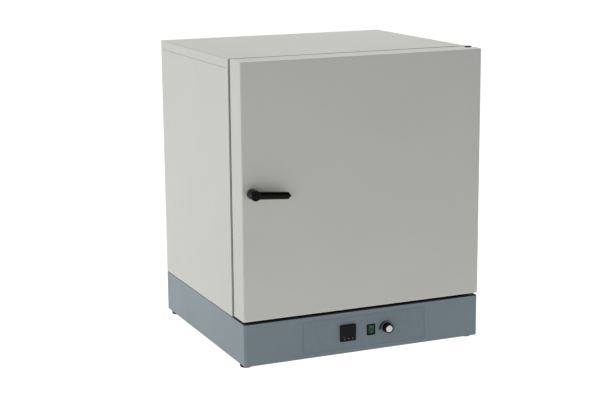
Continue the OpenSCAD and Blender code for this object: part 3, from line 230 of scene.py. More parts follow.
case_coat = powder_coat("powder-coated steel, light warm grey", "#C1C1BB", "#BFBFB9", 0.42)
plinth_coat = powder_coat("powder-coated steel, blue grey", "#6F7E86", "#6B7A82", 0.4)
# painted shade: the deck under the door is black, standing in for the deep shade of the gap beneath the door
deck_shade_black = powder_coat("black coat, painted shade under the door", "#0B0B0C", "#080808", 0.5)
lever_coat = powder_coat("die-cast zinc, black enamel", "#030303", "#020202", 0.3, 4, 0.12)
film_print = moulded("polycarbonate film, printed blue grey", "#6B7A83", "#67767F", 0.45, 0.7, 0.012)
print_black = moulded("screen-printed ink, black", "#14161C", "#101218", 0.5)
print_grey = moulded("screen-printed ink, slate grey", "#5C6A73", "#58666F", 0.5)
print_pale = moulded("screen-printed ink, pale grey", "#A9B1B6", "#A2AAB0", 0.5)
print_mint = moulded("hot-stamped mark, pale green", "#8DB39A", "#82A78F", 0.4)
steel_across = brushed_steel("brushed stainless steel, grain across", "#C9C8C3", "#B3B2AD", "X")
steel_upright = brushed_steel("brushed stainless steel, grain upright", "#C9C8C3", "#B3B2AD", "Z")
steel_wire = brushed_steel("electropolished stainless wire", "#D2D1CC", "#BDBCB7", "X", 0.22, 0.4, 20)
heater_sheath = brushed_steel("heat-tinted alloy sheath", "#6A5C50", "#3E3833", "X", 0.45, 1.5, 9)
zinc = zinc_plate("zinc-plated steel", "#BFC0BE", "#9FA1A0")
motor_steel = zinc_plate("varnished motor iron", "#54565A", "#3A3C40", 0.45)
brass = zinc_plate("turned brass", "#C9A45C", "#B18D49", 0.32)
copper = zinc_plate("drawn copper", "#C07B55", "#A66643", 0.35)
heatsink_metal = brushed_steel("extruded aluminium, natural", "#D3D4D6", "#BEBFC2", "Y", 0.35)
seal_rubber = moulded("silicone rubber, grey", "#55544F", "#4C4B46", 0.62, 1.2, 0.03, Specular_IOR_Level=0.25)
foot_rubber = moulded("nitrile rubber, black", "#060606", "#040404", 0.7, 0.9, 0.03, Specular_IOR_Level=0.12)
black_abs = moulded("moulded ABS, black", "#060708", "#040506", 0.4, 0.5, 0.01, Specular_IOR_Level=0.14)
key_rubber = moulded("moulded silicone keys, charcoal", "#0E0F12", "#0B0C0F", 0.55, 0.6, 0.012,
                     Specular_IOR_Level=0.14)
bakelite = moulded("phenolic moulding, black", "#070707", "#040404", 0.28, 0.8, 0.006, Specular_IOR_Level=0.14)
nylon = moulded("moulded nylon, natural", "#E4E0D0", "#D8D3C0", 0.42, 0.8, 0.01)
window_acrylic = moulded("smoked acrylic window", "#29231F", "#24201D", 0.12, 2.0, 0.001, Specular_IOR_Level=0.2)
segment_red = moulded("unlit display segments, smoky red", "#3A2421", "#34201D", 0.35, Specular_IOR_Level=0.2)
lamp_amber = moulded("unlit indicator lens, amber", "#9C6A3A", "#8C5C30", 0.2, IOR=1.55)
green_lens = moulded("moulded polycarbonate lens, dark green", "#0B4A20", "#083B19", 0.2, 3.0, 0.004,
                     Specular_IOR_Level=0.25)
rock_wool = mineral_wool("bonded rock wool")
knob_metal = spun_aluminium("spun aluminium cap", (knob_mid.x, 0, knob_mid.z))

finishes = {
    case_coat: ["side_panel_left", "side_panel_right", "top_panel", "back_panel", "front_frame", "door_skin",
                "top_pivot_bracket", "bottom_pivot_bracket"],
    plinth_coat: ["plinth_shell", "plinth_back_panel"],
    film_print: ["control_film"],
    # the deck is black as painted shade for the gap under the door
    deck_shade_black: ["plinth_deck"],
    steel_across: ["door_inner_panel", "fan_baffle"],
    steel_upright: ["chamber_liner", "shelf_rack_left", "shelf_rack_right", "fan_impeller", "temperature_probe",
                    "exhaust_tube", "exhaust_damper"],
    steel_wire: ["shelf_upper", "shelf_lower"],
    heater_sheath: ["heater_ring"],
    zinc: ["plinth_floor", "heat_shield", "case_screws", "door_screws", "latch_keeper", "latch_spindle",
           "latch_cam", "pivot_blocks", "spindle_sleeve", "safety_thermostat"],
    motor_steel: ["fan_motor"],
    brass: ["thrust_washer"],
    copper: ["thermostat_bulb"],
    heatsink_metal: ["relay_heatsink"],
    seal_rubber: ["door_seal"],
    foot_rubber: ["rubber_feet"],
    black_abs: ["temperature_controller", "power_switch_housing", "solid_state_relay", "cable_gland"],
    key_rubber: ["set_key", "down_key", "up_key"],
    bakelite: ["thermostat_knob"],
    lever_coat: ["lever_handle"],
    nylon: ["door_bushes", "terminal_block"],
    window_acrylic: ["controller_window"],
    green_lens: ["power_rocker"],
    rock_wool: ["insulation_left", "insulation_right", "insulation_top", "insulation_bottom", "insulation_back",
                "door_insulation"],
    knob_metal: ["knob_cap"],
}
for material, names in finishes.items():
    for name in names:
        node_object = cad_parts[name]
        node_object.data.materials.clear()
        node_object.data.materials.append(material)


# Shapes. A drawing has X to the right, Y up and Z out of the paper, in millimetres

def arc(x, y, radius, start, end, steps=6):
    """Points along an arc, between two angles in degrees."""
    angles = [radians(start + (end - start) * i / steps) for i in range(steps + 1)]
    return [(x + radius * cos(angle), y + radius * sin(angle)) for angle in angles]


def round_corners(width, height, radius, steps=6):
    """The outline of a centred rectangle with round corners."""
    points = []
    for right, up, start in ((1, 1, 0), (-1, 1, 90), (-1, -1, 180), (1, -1, 270)):
        points += arc(right * (width / 2 - radius), up * (height / 2 - radius), radius, start, start + 90, steps)
    return points


def slab(outline, low, high, at=(0, 0)):
    """A flat outline made solid between two heights."""
    mesh = bmesh.new()
    face = mesh.faces.new([mesh.verts.new(mm(x + at[0], y + at[1], low)) for x, y in outline])
    grown = bmesh.ops.extrude_face_region(mesh, geom=[face])["geom"]
    bmesh.ops.translate(mesh, verts=[g for g in grown if isinstance(g, bmesh.types.BMVert)],
                        vec=mm(0, 0, high - low))
    bmesh.ops.recalc_face_normals(mesh, faces=mesh.faces)
    return mesh


def turned(outline, steps=48):
    """A solid of revolution round Z, from (radius, height) pairs that run from pole to pole."""
    mesh = bmesh.new()
    line = [mesh.verts.new(mm(radius, 0, height)) for radius, height in outline]
    edges = [mesh.edges.new(pair) for pair in zip(line, line[1:])]
    bmesh.ops.spin(mesh, geom=line + edges, cent=(0, 0, 0), axis=(0, 0, 1), angle=2 * pi, steps=steps,
                   use_merge=True)
    bmesh.ops.remove_doubles(mesh, verts=mesh.verts, dist=1e-6)
    bmesh.ops.recalc_face_normals(mesh, faces=mesh.faces)
    return mesh


def soften(mesh, width_mm, segments=3, sharper_than=30, where=None):
    """Rounds the edges that are sharper than an angle, or those of them that where picks."""
    edges = [edge for edge in mesh.edges
             if len(edge.link_faces) == 2 and edge.calc_face_angle(0) > radians(sharper_than)
             and (where is None or where((edge.verts[0].co + edge.verts[1].co) / 2 / MM))]
    bmesh.ops.bevel(mesh, geom=edges, offset=width_mm * MM, segments=segments, profile=0.5, affect="EDGES",
                    material=-1, clamp_overlap=True)
    return mesh


def sink(mesh, left, right, low, high, depth, top):
    """Presses a rectangle of the flat top at height top down by a depth."""
    for normal, near, far in (((1, 0, 0), left, right), ((0, 1, 0), low, high)):
        for offset in (near, far):
            bmesh.ops.bisect_plane(mesh, geom=mesh.verts[:] + mesh.edges[:] + mesh.faces[:], dist=1e-7,
                                   plane_co=mm(*(offset * n for n in normal)), plane_no=normal)
    well = [face for face in mesh.faces
            if face.normal.z > 0.9 and abs(face.calc_center_median().z / MM - top) < 0.01
            and left < face.calc_center_median().x / MM < right
            and low < face.calc_center_median().y / MM < high]
    grown = bmesh.ops.extrude_face_region(mesh, geom=well)["geom"]
    bmesh.ops.translate(mesh, verts=[g for g in grown if isinstance(g, bmesh.types.BMVert)], vec=mm(0, 0, -depth))
    return mesh


def joined(*parts):
    """Several meshes as one."""
    whole = bmesh.new()
    for part in parts:
        passing = bpy.data.meshes.new("passing")
        part.to_mesh(passing)
        part.free()
        whole.from_mesh(passing)
        bpy.data.meshes.remove(passing)
    return whole


def facing_front(mesh, at, turn=0):
    """A drawing is turned by an angle in degrees and stood up, to face the front at a place in metres."""
    stand = Matrix.Translation(at) @ Matrix.Rotation(radians(90), 4, "X") @ Matrix.Rotation(radians(turn), 4, "Z")
    bmesh.ops.transform(mesh, matrix=stand, verts=mesh.verts)
    return mesh


def finish_piece(name, mesh, material, body, smooth_over=35, replaced=()):
    """A bmesh in metres, in its place, becomes a piece that rides on a body."""
    bmesh.ops.remove_doubles(mesh, verts=mesh.verts, dist=1e-6)
    bmesh.ops.recalc_face_normals(mesh, faces=mesh.faces)
    data = bpy.data.meshes.new(name)
    for face in mesh.faces:
        face.smooth = True
    for edge in mesh.edges:
        edge.smooth = len(edge.link_faces) == 2 and edge.calc_face_angle(pi) < radians(smooth_over)
    mesh.to_mesh(data)
    mesh.free()
    piece = bpy.data.objects.new(name, data)
    bpy.context.scene.collection.objects.link(piece)
    piece.data.materials.append(material)
    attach(piece, body)
    if replaced:
        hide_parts(*replaced)
    return piece


# Lever: a round hub, and an arm that flows out of it

HUB_R = 14.5
HUB_ROUND = 1.8
ARM_LENGTH = 103
ARM_THICK = 13
ARM_HALF = 10.2
ARM_END_HALF = 9.6
ARM_TIP_HALF = 1.6
TIP_LENGTH = 6
ARM_FILLET = 16
ARM_DROOP = 4.5
BEVEL_HIGH = 5.5
BEVEL_DEEP = 3.2
lever_out = (FRONT - lever_low.y) / MM
hub_base = (FRONT - lever_high.y) / MM


def rounded(outline, radius, steps=3):
    """An outline with its corners rounded off."""
    points = []
    for before, corner, after in zip(outline[-1:] + outline[:-1], outline, outline[1:] + outline[:1]):
        here, back, on = Vector(corner), Vector(before), Vector(after)
        start = here + (back - here).normalized() * radius
        end = here + (on - here).normalized() * radius
        for i in range(steps + 1):
            s = i / steps
            points.append(tuple(start * (1 - s) ** 2 + here * 2 * s * (1 - s) + end * s ** 2))
    return points


def loft(rings):
    """A skin over rings of points in metres, with both ends closed."""
    mesh = bmesh.new()
    loops = []
    for ring in rings:
        verts = [mesh.verts.new(point) for point in ring]
        loops.append([mesh.edges.new(pair) for pair in zip(verts, verts[1:] + verts[:1])])
    for first, second in zip(loops, loops[1:]):
        bmesh.ops.bridge_loops(mesh, edges=first + second)
    bmesh.ops.holes_fill(mesh, edges=loops[0] + loops[-1], sides=0)
    return mesh


def arm_stations():
    """Distances along the arm, each with its half height: fillet from the hub, taper, blunt point."""
    reach = HUB_R + ARM_FILLET
    fillet_y = ARM_HALF + ARM_FILLET
    fillet_x = sqrt(reach ** 2 - fillet_y ** 2)
    leaves_at = 180 + degrees(atan2(fillet_y, fillet_x))
    fillet = arc(fillet_x, fillet_y, ARM_FILLET, leaves_at, 270, 12)
    straight = [(ARM_LENGTH - TIP_LENGTH - 0.6, ARM_END_HALF), (ARM_LENGTH - TIP_LENGTH, ARM_END_HALF - 0.3)]
    return [(0, fillet[0][1])] + fillet + straight + [(ARM_LENGTH, ARM_TIP_HALF)]


def arm_ring(x, half):
    """The arm's section at x: a flat front between two bevels, in a drawing with X up and Y out."""
    high = min(BEVEL_HIGH, half * 0.55)
    low, ridge = lever_out - ARM_THICK, lever_out - BEVEL_DEEP
    section = [(-half, low), (half, low), (half, ridge), (half - high, lever_out), (high - half, lever_out),
               (-half, ridge)]
    return [mm(x, up, out) for up, out in rounded(section, min(0.9, half * 0.3))]


arm = loft([arm_ring(x, half) for x, half in arm_stations()])
hub = turned([(0, hub_base), (HUB_R - 0.5, hub_base), (HUB_R, hub_base + 0.5)]
             + arc(HUB_R - HUB_ROUND, lever_out + 0.1 - HUB_ROUND, HUB_ROUND, 0, 90)
             + [(0, lever_out + 0.1)], 96)
lever = facing_front(joined(arm, hub), Vector((spindle_mid.x, FRONT, spindle_mid.z)), -ARM_DROOP)
finish_piece("lever_casting", lever, lever_coat, "latch", 50, ["lever_handle"])


# Black cap over the top pivot's pin

CAP_R = 10.2
CAP_T = 2.2
CAP_SEAT = 2
CAP_ROUND = 0.8
SLOT_HALF_WIDE, SLOT_HALF_LONG, SLOT_DEEP = 0.6, 5, 0.9
pivot_cap = turned([(0, -0.1), (CAP_R, -0.1)] + arc(CAP_R - CAP_ROUND, CAP_T - CAP_ROUND, CAP_ROUND, 0, 90, 4)
                   + [(0, CAP_T)], 64)
sink(pivot_cap, -SLOT_HALF_WIDE, SLOT_HALF_WIDE, -SLOT_HALF_LONG, SLOT_HALF_LONG, SLOT_DEEP, CAP_T)
bmesh.ops.translate(pivot_cap, verts=pivot_cap.verts,
                    vec=Vector((washer_mid.x, washer_mid.y, bracket_high.z - CAP_SEAT * MM)))
finish_piece("pivot_cap", pivot_cap, black_abs, "cabinet")


# A grey rubber strip round the top, bottom and left of the gap between case and door, as painted shade: it darkens
# the gap line where there is only shade; it stops short of the hinges

LIP_DEEP = 13
LIP_THICK = 4
LIP_UNDER_ROOF = 0.5
LIP_IN_SIDE = 4
LIP_ROUND = 1.2
LIP_TO_BRACKET = 2
roof_low, roof_high = corners("top_panel")[:2]
lip_left = roof_low.x / MM + LIP_IN_SIDE
lip_right = bracket_low.x / MM - LIP_TO_BRACKET
lip_drop = (roof_high.z - door_low.z) / MM - 2 * LIP_UNDER_ROOF
lip_middle = -LIP_UNDER_ROOF - lip_drop / 2
shade_strip_bars = [slab(round_corners(lip_right - lip_left, LIP_THICK, LIP_ROUND), 0, LIP_DEEP,
                 ((lip_left + lip_right) / 2, lip_middle + side * (lip_drop - LIP_THICK) / 2)) for side in (-1, 1)]
shade_strip_bars.append(slab(round_corners(LIP_THICK, lip_drop, LIP_ROUND), 0, LIP_DEEP,
                     (lip_left + LIP_THICK / 2, lip_middle)))
finish_piece("gap_shade_strip", facing_front(joined(*shade_strip_bars), Vector((0, roof_low.y, roof_high.z))), seal_rubber,
             "cabinet")


# Control panel: a printed frame on the film, and a wedge that swings round the knob

film_out = (FRONT - film_low.y) / MM
film_w = (film_high.x - film_low.x) / MM
film_h = (film_high.z - film_low.z) / MM
PRINT_T = 0.04
FRAME_INSET, FRAME_R, FRAME_LINE = 4, 4, 1.1
on_film = Vector((film_mid.x, FRONT, film_mid.z))


def printed_ring(width, height, radius, line, low, high):
    """A printed line round a rectangle."""
    mesh = slab(round_corners(width, height, radius), low, high)
    top = max(mesh.faces, key=lambda face: face.calc_center_median().z)
    bottom = min(mesh.faces, key=lambda face: face.calc_center_median().z)
    bmesh.ops.inset_region(mesh, faces=[top, bottom], thickness=line * MM)
    inner = [face for face in (top, bottom) if face.is_valid]
    rims = [edge for face in inner for edge in face.edges]
    bmesh.ops.delete(mesh, geom=inner, context="FACES_ONLY")
    bmesh.ops.bridge_loops(mesh, edges=rims)
    return mesh


film_frame = printed_ring(film_w - FRAME_INSET, film_h - FRAME_INSET, FRAME_R, FRAME_LINE, film_out,
                          film_out + PRINT_T)
finish_piece("film_frame", facing_front(film_frame, on_film), print_grey, "cabinet")

WEDGE_IN = 17.5
WEDGE_START, WEDGE_END = 190, 35
WEDGE_WIDE, WEDGE_NARROW = 9, 1.6
WEDGE_STEPS = 40
wedge_outer = []
for i in range(WEDGE_STEPS + 1):
    share = i / WEDGE_STEPS
    angle = radians(WEDGE_START + (WEDGE_END - WEDGE_START) * share)
    radius = WEDGE_IN + WEDGE_NARROW + (WEDGE_WIDE - WEDGE_NARROW) * (1 - share) ** 1.6
    wedge_outer.append((radius * cos(angle), radius * sin(angle)))
wedge_inner = arc(0, 0, WEDGE_IN, WEDGE_END, WEDGE_START, WEDGE_STEPS)
wedge = slab(wedge_outer + wedge_inner, film_out, film_out + PRINT_T)
finish_piece("dial_wedge", facing_front(wedge, Vector((knob_mid.x, FRONT, knob_mid.z))), print_black, "cabinet")


# Temperature controller: a square bezel round a window and three keys, on a case behind the panel

BEZEL_ROUND = 2
BEZEL_EDGE = 0.9
CASE_SIDE = 44.8
KEY_W, KEY_H = 8, 5
KEY_PITCH = 12
KEY_DEEP = 2.6
WINDOW_DEEP = 1
WELL_GAP = 0.3
controller_w = (controller_high.x - controller_low.x) / MM
controller_out = (FRONT - controller_low.y) / MM
controller_back = (controller_high.y - FRONT) / MM
window_w = (window_high.x - window_low.x) / MM
window_h = (window_high.z - window_low.z) / MM
window_y = (window_mid.z - controller_mid.z) / MM
key_row = (corners("set_key")[2].z - controller_mid.z) / MM
on_controller = Vector((controller_mid.x, FRONT, controller_mid.z))

bezel = slab(round_corners(controller_w, controller_w, BEZEL_ROUND), film_out, controller_out)
soften(bezel, BEZEL_EDGE, 3, 60, where=lambda middle: middle.z > controller_out - 0.01)
sink(bezel, -window_w / 2, window_w / 2, window_y - window_h / 2, window_y + window_h / 2, WINDOW_DEEP,
     controller_out)
for k in (-1, 0, 1):
    sink(bezel, k * KEY_PITCH - KEY_W / 2 - WELL_GAP, k * KEY_PITCH + KEY_W / 2 + WELL_GAP,
         key_row - KEY_H / 2 - WELL_GAP, key_row + KEY_H / 2 + WELL_GAP, KEY_DEEP, controller_out)
case_block = slab(round_corners(CASE_SIDE, CASE_SIDE, 1), -controller_back, film_out)
finish_piece("controller_case", facing_front(joined(bezel, case_block), on_controller), black_abs, "cabinet",
             35, ["temperature_controller"])

window_out = (FRONT - window_low.y) / MM
pane = slab(round_corners(window_w - 0.3, window_h - 0.3, 1), window_out - 0.6, window_out)
soften(pane, 0.25, 2, 60, where=lambda middle: middle.z > window_out - 0.01)
finish_piece("smoked_window", facing_front(pane, Vector((window_mid.x, FRONT, window_mid.z))), window_acrylic,
             "cabinet", 35, ["controller_window"])


def digit(x, y, height):
    """The seven bars of one display digit, each with pointed ends."""
    bar = height / 2
    half = bar * 0.1
    shape = [(-bar / 2 + half, half), (-bar / 2, 0), (-bar / 2 + half, -half),
             (bar / 2 - half, -half), (bar / 2, 0), (bar / 2 - half, half)]
    upright = [(b, a) for a, b in shape]
    bars = [slab(shape, window_out, window_out + PRINT_T, (x, y + row * bar)) for row in (-1, 0, 1)]
    bars += [slab(upright, window_out, window_out + PRINT_T, (x + side * bar / 2, y + half_row * bar / 2))
             for side in (-1, 1) for half_row in (-1, 1)]
    return bars


# two rows of four: pitch, shift to the right, place up, height
DIGIT_ROWS = ((7.6, 0, 5.5, 9), (5.6, 3.2, -7.5, 6))
digits = []
for column in range(4):
    for pitch, shift, row_y, height in DIGIT_ROWS:
        digits += digit((column - 1.5) * pitch + shift, row_y, height)
finish_piece("display_digits", facing_front(joined(*digits), Vector((window_mid.x, FRONT, window_mid.z))),
             segment_red, "cabinet")

LAMP_R = 0.9
LAMP_Y = -10.9
lamps = [slab(arc(0, 0, LAMP_R, 0, 345, 23), controller_out - 0.2, controller_out + 0.15, (x, LAMP_Y))
         for x in (-15, -10.5)]
finish_piece("controller_lamps", facing_front(joined(*lamps), on_controller), lamp_amber, "cabinet")

key_marks = {
    "set": round_corners(2.6, 1.1, 0.5, 4),
    "down": [(-1.4, 0.9), (0, -1.2), (1.4, 0.9)],
    "up": [(-1.4, -0.9), (1.4, -0.9), (0, 1.2)],
}
for name, outline in key_marks.items():
    key_low, _, key_mid = corners(name + "_key")
    key_out = (FRONT - key_low.y) / MM
    on_key = Vector((key_mid.x, FRONT, key_mid.z))
    key = slab(round_corners(KEY_W, KEY_H, 1.2), key_out - KEY_DEEP, key_out)
    soften(key, 0.5, 3, 60, where=lambda middle: middle.z > key_out - 0.01)
    finish_piece(name + "_key_cap", facing_front(key, on_key), key_rubber, name + "_button", 35,
                 [name + "_key"])
    mark = slab(outline, key_out, key_out + PRINT_T)
    finish_piece(name + "_key_mark", facing_front(mark, on_key), print_pale, name + "_button")


# Power rocker: two hollow faces that meet over its axle, with a stamped mark on each

ROCKER_W, ROCKER_HALF = 18.8, 12
ROCKER_TILT = 8
ROCKER_VALLEY = 7.7
ROCKER_HEEL = 2
ROCKER_KEEL = 4
ROCKER_AXLE_R = 2
ROCKER_AXLE_HALF = 10.6
ROCKER_PIVOT_Y = 5
ROCKER_DISH = 0.5
rocker_rise = ROCKER_HALF * tan(radians(ROCKER_TILT))
on_rocker = Vector((switch_mid.x, FRONT + ROCKER_PIVOT_Y * MM, switch_mid.z))
# from a drawing of the rocker's side, with X out of the panel, to its place and rest angle
side_on = (Matrix.Translation(on_rocker) @ Matrix.Rotation(radians(-ROCKER_TILT), 4, "X")
           @ Matrix(((0, 0, -1, 0), (-1, 0, 0, 0), (0, 1, 0, 0), (0, 0, 0, 1))))


def rocker_face(share):
    """How far out the upper face is at a share of the way from the valley to its edge."""
    return ROCKER_VALLEY + rocker_rise * share - ROCKER_DISH * sin(pi * share)


FACE_STEPS = 10
upper_face = [(rocker_face(i / FACE_STEPS), ROCKER_HALF * i / FACE_STEPS) for i in range(FACE_STEPS + 1)]
back_corner = (ROCKER_HEEL, ROCKER_HALF)
keel_corner = (-ROCKER_KEEL, ROCKER_KEEL)
upper_half = upper_face + [back_corner, keel_corner]
rocker_side = upper_half + [(out, -up) for out, up in reversed(upper_half[1:])]
rocker = slab(rocker_side, -ROCKER_W / 2, ROCKER_W / 2)
soften(rocker, 0.6, 3, 40)
axle = slab(arc(0, 0, ROCKER_AXLE_R, 0, 345, 23), -ROCKER_AXLE_HALF, ROCKER_AXLE_HALF)
rocker = joined(rocker, axle)
bmesh.ops.transform(rocker, matrix=side_on, verts=rocker.verts)
finish_piece("rocker_lens", rocker, green_lens, "rocker", 30, ["power_rocker"])

# the marks: a bar above and a ring below, laid on the faces
MARK_AT = 0.62
MARK_T = PRINT_T * 2
MARK_OFF = 0.1
for name, up, shape in (("bar", 1, round_corners(1.3, 5.4, 0.5, 4)), ("ring", -1, None)):
    if shape:
        mark = slab(shape, 0, MARK_T)
    else:
        mark = printed_ring(5.2, 5.2, 2.59, 0.9, 0, MARK_T)
    lean = Matrix.Rotation(radians(-ROCKER_TILT + up * ROCKER_TILT), 4, "X")
    out = rocker_face(MARK_AT) + MARK_OFF
    rise = up * ROCKER_HALF * MARK_AT
    tilt = radians(-ROCKER_TILT)
    spot = on_rocker + mm(0, -out * cos(tilt) - rise * sin(tilt), rise * cos(tilt) - out * sin(tilt))
    bmesh.ops.transform(mark, matrix=Matrix.Translation(spot) @ lean @ Matrix.Rotation(radians(90), 4, "X"),
                        verts=mark.verts)
    finish_piece("rocker_mark_" + name, mark, print_mint, "rocker")


# Thermostat knob: a skirt with a pointer line, a fluted grip and a recess for the metal cap

KNOB_R = 15
SKIRT_LOW, SKIRT_HIGH = 0.6, 2.8
GRIP_R = 14.4
FLUTES = 20
FLUTE_DEEP = 0.8
CAP_RECESS_R = 10.1
CAP_SIDE_GAP = 0.15
KNOB_SPINDLE_R = 3
POINTER_ANGLE = 225
knob_out = (FRONT - knob_low.y) / MM
knob_spindle_back = (knob_high.y - FRONT) / MM
on_knob = Vector((knob_mid.x, FRONT, knob_mid.z))


def fluted_ring(mesh, radius, deep, height):
    """A closed ring of edges whose radius dips at each flute."""
    points = []
    for i in range(FLUTES * 8):
        angle = 2 * pi * i / (FLUTES * 8)
        r = radius - deep * (0.5 + 0.5 * cos(FLUTES * angle)) ** 2
        points.append(mesh.verts.new(mm(r * cos(angle), r * sin(angle), height)))
    return [mesh.edges.new((a, b)) for a, b in zip(points, points[1:] + points[:1])]


grip = bmesh.new()
grip_levels = [(GRIP_R, FLUTE_DEEP, SKIRT_HIGH - 0.2), (GRIP_R - 0.2, FLUTE_DEEP, knob_out - 2.2),
               (GRIP_R - 0.3, FLUTE_DEEP * 0.8, knob_out - 1.2), (GRIP_R - 0.6, FLUTE_DEEP * 0.5, knob_out - 0.4),
               (GRIP_R - 1.2, 0, knob_out), (CAP_RECESS_R + 0.2, 0, knob_out),
               (CAP_RECESS_R, 0, knob_out - 0.3), (CAP_RECESS_R, 0, knob_out - 1)]
rings = [fluted_ring(grip, *level) for level in grip_levels]
for lower_ring, upper_ring in zip(rings, rings[1:]):
    bmesh.ops.bridge_loops(grip, edges=lower_ring + upper_ring)
bmesh.ops.holes_fill(grip, edges=rings[0] + rings[-1], sides=0)
skirt = turned([(0, SKIRT_LOW), (KNOB_R - 0.3, SKIRT_LOW), (KNOB_R, SKIRT_LOW + 0.3)]
               + arc(KNOB_R - 0.8, SKIRT_HIGH - 0.8, 0.8, 0, 90, 4) + [(0, SKIRT_HIGH)], 96)
knob_spindle = turned([(0, -knob_spindle_back), (KNOB_SPINDLE_R - 0.4, -knob_spindle_back),
                       (KNOB_SPINDLE_R, -knob_spindle_back + 0.4), (KNOB_SPINDLE_R, 1), (0, 1)], 32)
finish_piece("knob_grip", facing_front(joined(grip, skirt, knob_spindle), on_knob), bakelite, "knob",
             35, ["thermostat_knob"])
pointer = joined(slab(round_corners(2.2, 0.8, 0.3, 3), knob_out - 0.1, knob_out + PRINT_T,
                      (CAP_RECESS_R + 1.6, 0)),
                 slab(round_corners(1.0, 0.8, 0.3, 3), SKIRT_HIGH - 0.1, SKIRT_HIGH + PRINT_T, (KNOB_R - 1.0, 0)))
finish_piece("knob_pointer", facing_front(pointer, on_knob, POINTER_ANGLE), print_pale, "knob")
cap_r = CAP_RECESS_R - CAP_SIDE_GAP
cap_out = (FRONT - cap_low.y) / MM
metal_cap = turned([(0, knob_out - 1), (cap_r, knob_out - 1)] + arc(cap_r - 0.5, cap_out - 0.5, 0.5, 0, 90, 4)
                   + [(cap_r * 0.6, cap_out - 0.15), (0, cap_out - 0.2)], 64)
finish_piece("knob_metal_cap", facing_front(metal_cap, on_knob), knob_metal, "knob", 25,
             ["knob_cap"])


# Screws: a pan head with a cross recess, wherever the frame has a screw

def loose_parts(node):
    """The separate solids of a CAD node, in the order of its points, as lists of points in metres."""
    mesh = bmesh.new()
    mesh.from_mesh(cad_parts[node].data)
    bmesh.ops.remove_doubles(mesh, verts=mesh.verts, dist=1e-6)
    unseen = set(mesh.verts)
    parts = []
    for first in mesh.verts:
        if first not in unseen:
            continue
        unseen.remove(first)
        reached = [first]
        part = []
        while reached:
            vert = reached.pop()
            part.append(vert.co.copy())
            for edge in vert.link_edges:
                other = edge.other_vert(vert)
                if other in unseen:
                    unseen.remove(other)
                    reached.append(other)
        parts.append(part)
    mesh.free()
    return parts


def screw_shape(head_r, head_h, shank_r, length):
    """A pan-head screw whose head's seat is at zero and points up."""
    dome = arc(0, 0, head_r, 0, 90, 8)
    crown = [(max(r, 0), head_h * (0.35 + 0.65 * h / head_r)) for r, h in dome]
    mesh = turned([(0, -length), (shank_r * 0.6, -length), (shank_r, -length + shank_r), (shank_r, 0),
                   (head_r - 0.1, 0)] + crown[:-1] + [(0, head_h)], 32)
    wing, reach, deep = head_r * 0.11, head_r * 0.5, head_h * 0.5
    for offset, normal in ((wing, (1, 0, 0)), (wing, (0, 1, 0)), (reach, (1, 0, 0)), (reach, (0, 1, 0))):
        for side in (-1, 1):
            bmesh.ops.bisect_plane(mesh, geom=mesh.verts[:] + mesh.edges[:] + mesh.faces[:], dist=1e-7,
                                   plane_co=mm(*(side * offset * n for n in normal)), plane_no=normal)
    recess = []
    for face in mesh.faces:
        middle = face.calc_center_median() / MM
        across, along = sorted((abs(middle.x), abs(middle.y)))
        if middle.z > head_h * 0.4 and face.normal.z > 0 and across < wing and along < reach:
            recess.append(face)
    grown = bmesh.ops.extrude_face_region(mesh, geom=recess)["geom"]
    bmesh.ops.translate(mesh, verts=[g for g in grown if isinstance(g, bmesh.types.BMVert)], vec=mm(0, 0, -deep))
    return mesh


def screws(name, node, body):
    """The same screws as a CAD node's, each on its own axis."""
    made = []
    for part in loose_parts(node):
        low = Vector([min(point[i] for point in part) for i in range(3)])
        high = Vector([max(point[i] for point in part) for i in range(3)])
        size = high - low
        middle = (low + high) / 2
        median = sorted(size)[1]
        axis = max(range(3), key=lambda i: abs(size[i] - median))
        ends_at = {end: max(sum((point[i] - middle[i]) ** 2 for i in range(3) if i != axis) ** 0.5
                            for point in part if abs(point[axis] - level) < 1e-5)
                   for end, level in ((-1, low[axis]), (1, high[axis]))}
        head_end = max(ends_at, key=ends_at.get)
        shank_r = min(ends_at.values()) / MM
        head_r = median / 2 / MM
        head_h = shank_r * 1.1
        screw = screw_shape(head_r, head_h, shank_r, size[axis] / MM - head_h)
        out = Vector([head_end if i == axis else 0 for i in range(3)])
        top = Vector(middle)
        top[axis] = high[axis] if head_end > 0 else low[axis]
        seat = top - out * head_h * MM
        turn = out.to_track_quat("Z", "Y").to_matrix().to_4x4()
        twist = Matrix.Rotation(0.9 * len(made), 4, "Z")
        bmesh.ops.transform(screw, matrix=Matrix.Translation(seat) @ turn @ twist, verts=screw.verts)
        made.append(screw)
    finish_piece(name, joined(*made), zinc, body, 30, [node])


screws("pan_screws", "case_screws", "cabinet")
screws("panel_screws", "door_screws", "door")


# The studio: a white table lit from below, dimmer in front, whose raised rim hides the dim surround; a soft key from
# the left, a fill from the front left and a wide top light

TABLE = [(0, 0), (18000, 0), (22000, 300), (25000, 1500), (26500, 4000)]
GLOW_FRONT, GLOW_REST = 0.7, 1.0
DIM_BEFORE, FULL_AFTER = -2.4, -0.8
SURROUND = 0.08

floor_mesh = turned(TABLE, 64)
floor_data = bpy.data.meshes.new("studio_floor")
floor_mesh.to_mesh(floor_data)
floor_mesh.free()
floor = bpy.data.objects.new("studio_floor", floor_data)
bpy.context.scene.collection.objects.link(floor)
floor_paper, floor_tree, floor_shader = begin("matt acrylic table, lit from below", Roughness=0.9,
                                              Emission_Color=(1, 1, 1, 1))
across = add(floor_tree, "SeparateXYZ", {"Vector": (add(floor_tree, "TexCoord"), "Object")})
glow = spread(floor_tree, across, "Y", GLOW_FRONT, GLOW_REST, DIM_BEFORE, FULL_AFTER)
floor_tree.links.new(glow.outputs["Result"], floor_shader.inputs["Emission Strength"])
paper_grain = noise(floor_tree, place(floor_tree), 3, 2)
colour(floor_tree, floor_shader, tint(floor_tree, paper_grain, "Fac", "#7A7A7A", "#7E7E7E"))
floor.data.materials.append(floor_paper)

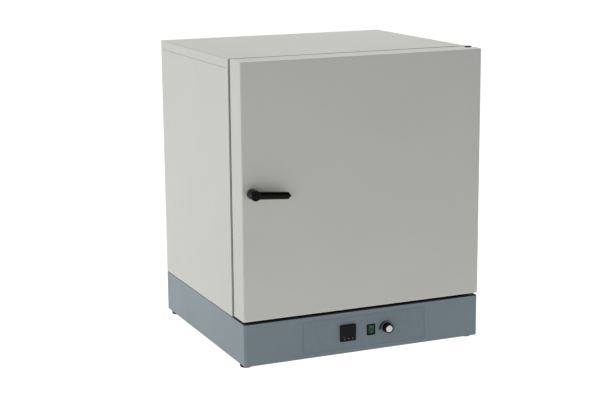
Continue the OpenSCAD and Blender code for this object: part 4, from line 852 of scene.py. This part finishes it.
world = bpy.data.worlds.new("studio")
world.use_nodes = True
bpy.context.scene.world = world
world.node_tree.nodes["Background"].inputs["Color"].default_value = (1, 1, 1, 1)
world.node_tree.nodes["Background"].inputs["Strength"].default_value = SURROUND


def soft_light(name, at, towards, size, power):
    """A square area light, in metres and watts."""
    lamp = bpy.data.lights.new(name, "AREA")
    lamp.size = size
    lamp.energy = power
    holder = bpy.data.objects.new(name, lamp)
    bpy.context.scene.collection.objects.link(holder)
    holder.location = at
    holder.rotation_euler = (Vector(towards) - Vector(at)).to_track_quat("-Z", "Y").to_euler()
    return holder


soft_light("left_key", (-2.2, 1.5, 0.6), (-0.37, 0.2, 0.45), 1.0, 13)
soft_light("front_fill", (-3.0, -3.0, 0.7), (-0.3, -0.3, 0.4), 1.4, 24)
soft_light("top_fill", (0.3, 0.6, 4.2), (0, 0, 0.4), 3.0, 162)


# The camera: a pinhole fitted to the photograph's outline corners

CAMERA_AT = (-1.788468, -3.659537, 1.304099)
CAMERA_YAW = radians(-23.477)
CAMERA_PITCH = radians(-11.815)
CAMERA_ROLL = radians(-0.482)
FOCAL_PIXELS = 1478.2
PHOTO_WIDTH = 600

camera_data = bpy.data.cameras.new("camera")
camera_data.sensor_width = 36
camera_data.lens = FOCAL_PIXELS * camera_data.sensor_width / PHOTO_WIDTH
camera_data.clip_end = 120
camera = bpy.data.objects.new("camera", camera_data)
bpy.context.scene.collection.objects.link(camera)
forward = Vector((-sin(CAMERA_YAW) * cos(CAMERA_PITCH), cos(CAMERA_YAW) * cos(CAMERA_PITCH), sin(CAMERA_PITCH)))
level_right = Vector((cos(CAMERA_YAW), sin(CAMERA_YAW), 0))
level_up = level_right.cross(forward)
right = level_right * cos(CAMERA_ROLL) + level_up * sin(CAMERA_ROLL)
up = level_up * cos(CAMERA_ROLL) - level_right * sin(CAMERA_ROLL)
turn = Matrix((right, up, -forward)).transposed()
camera.matrix_world = Matrix.Translation(Vector(CAMERA_AT) + Vector((0, FRONT, 0))) @ turn.to_4x4()
bpy.context.scene.camera = camera
bpy.context.scene.view_settings.view_transform = "Standard"
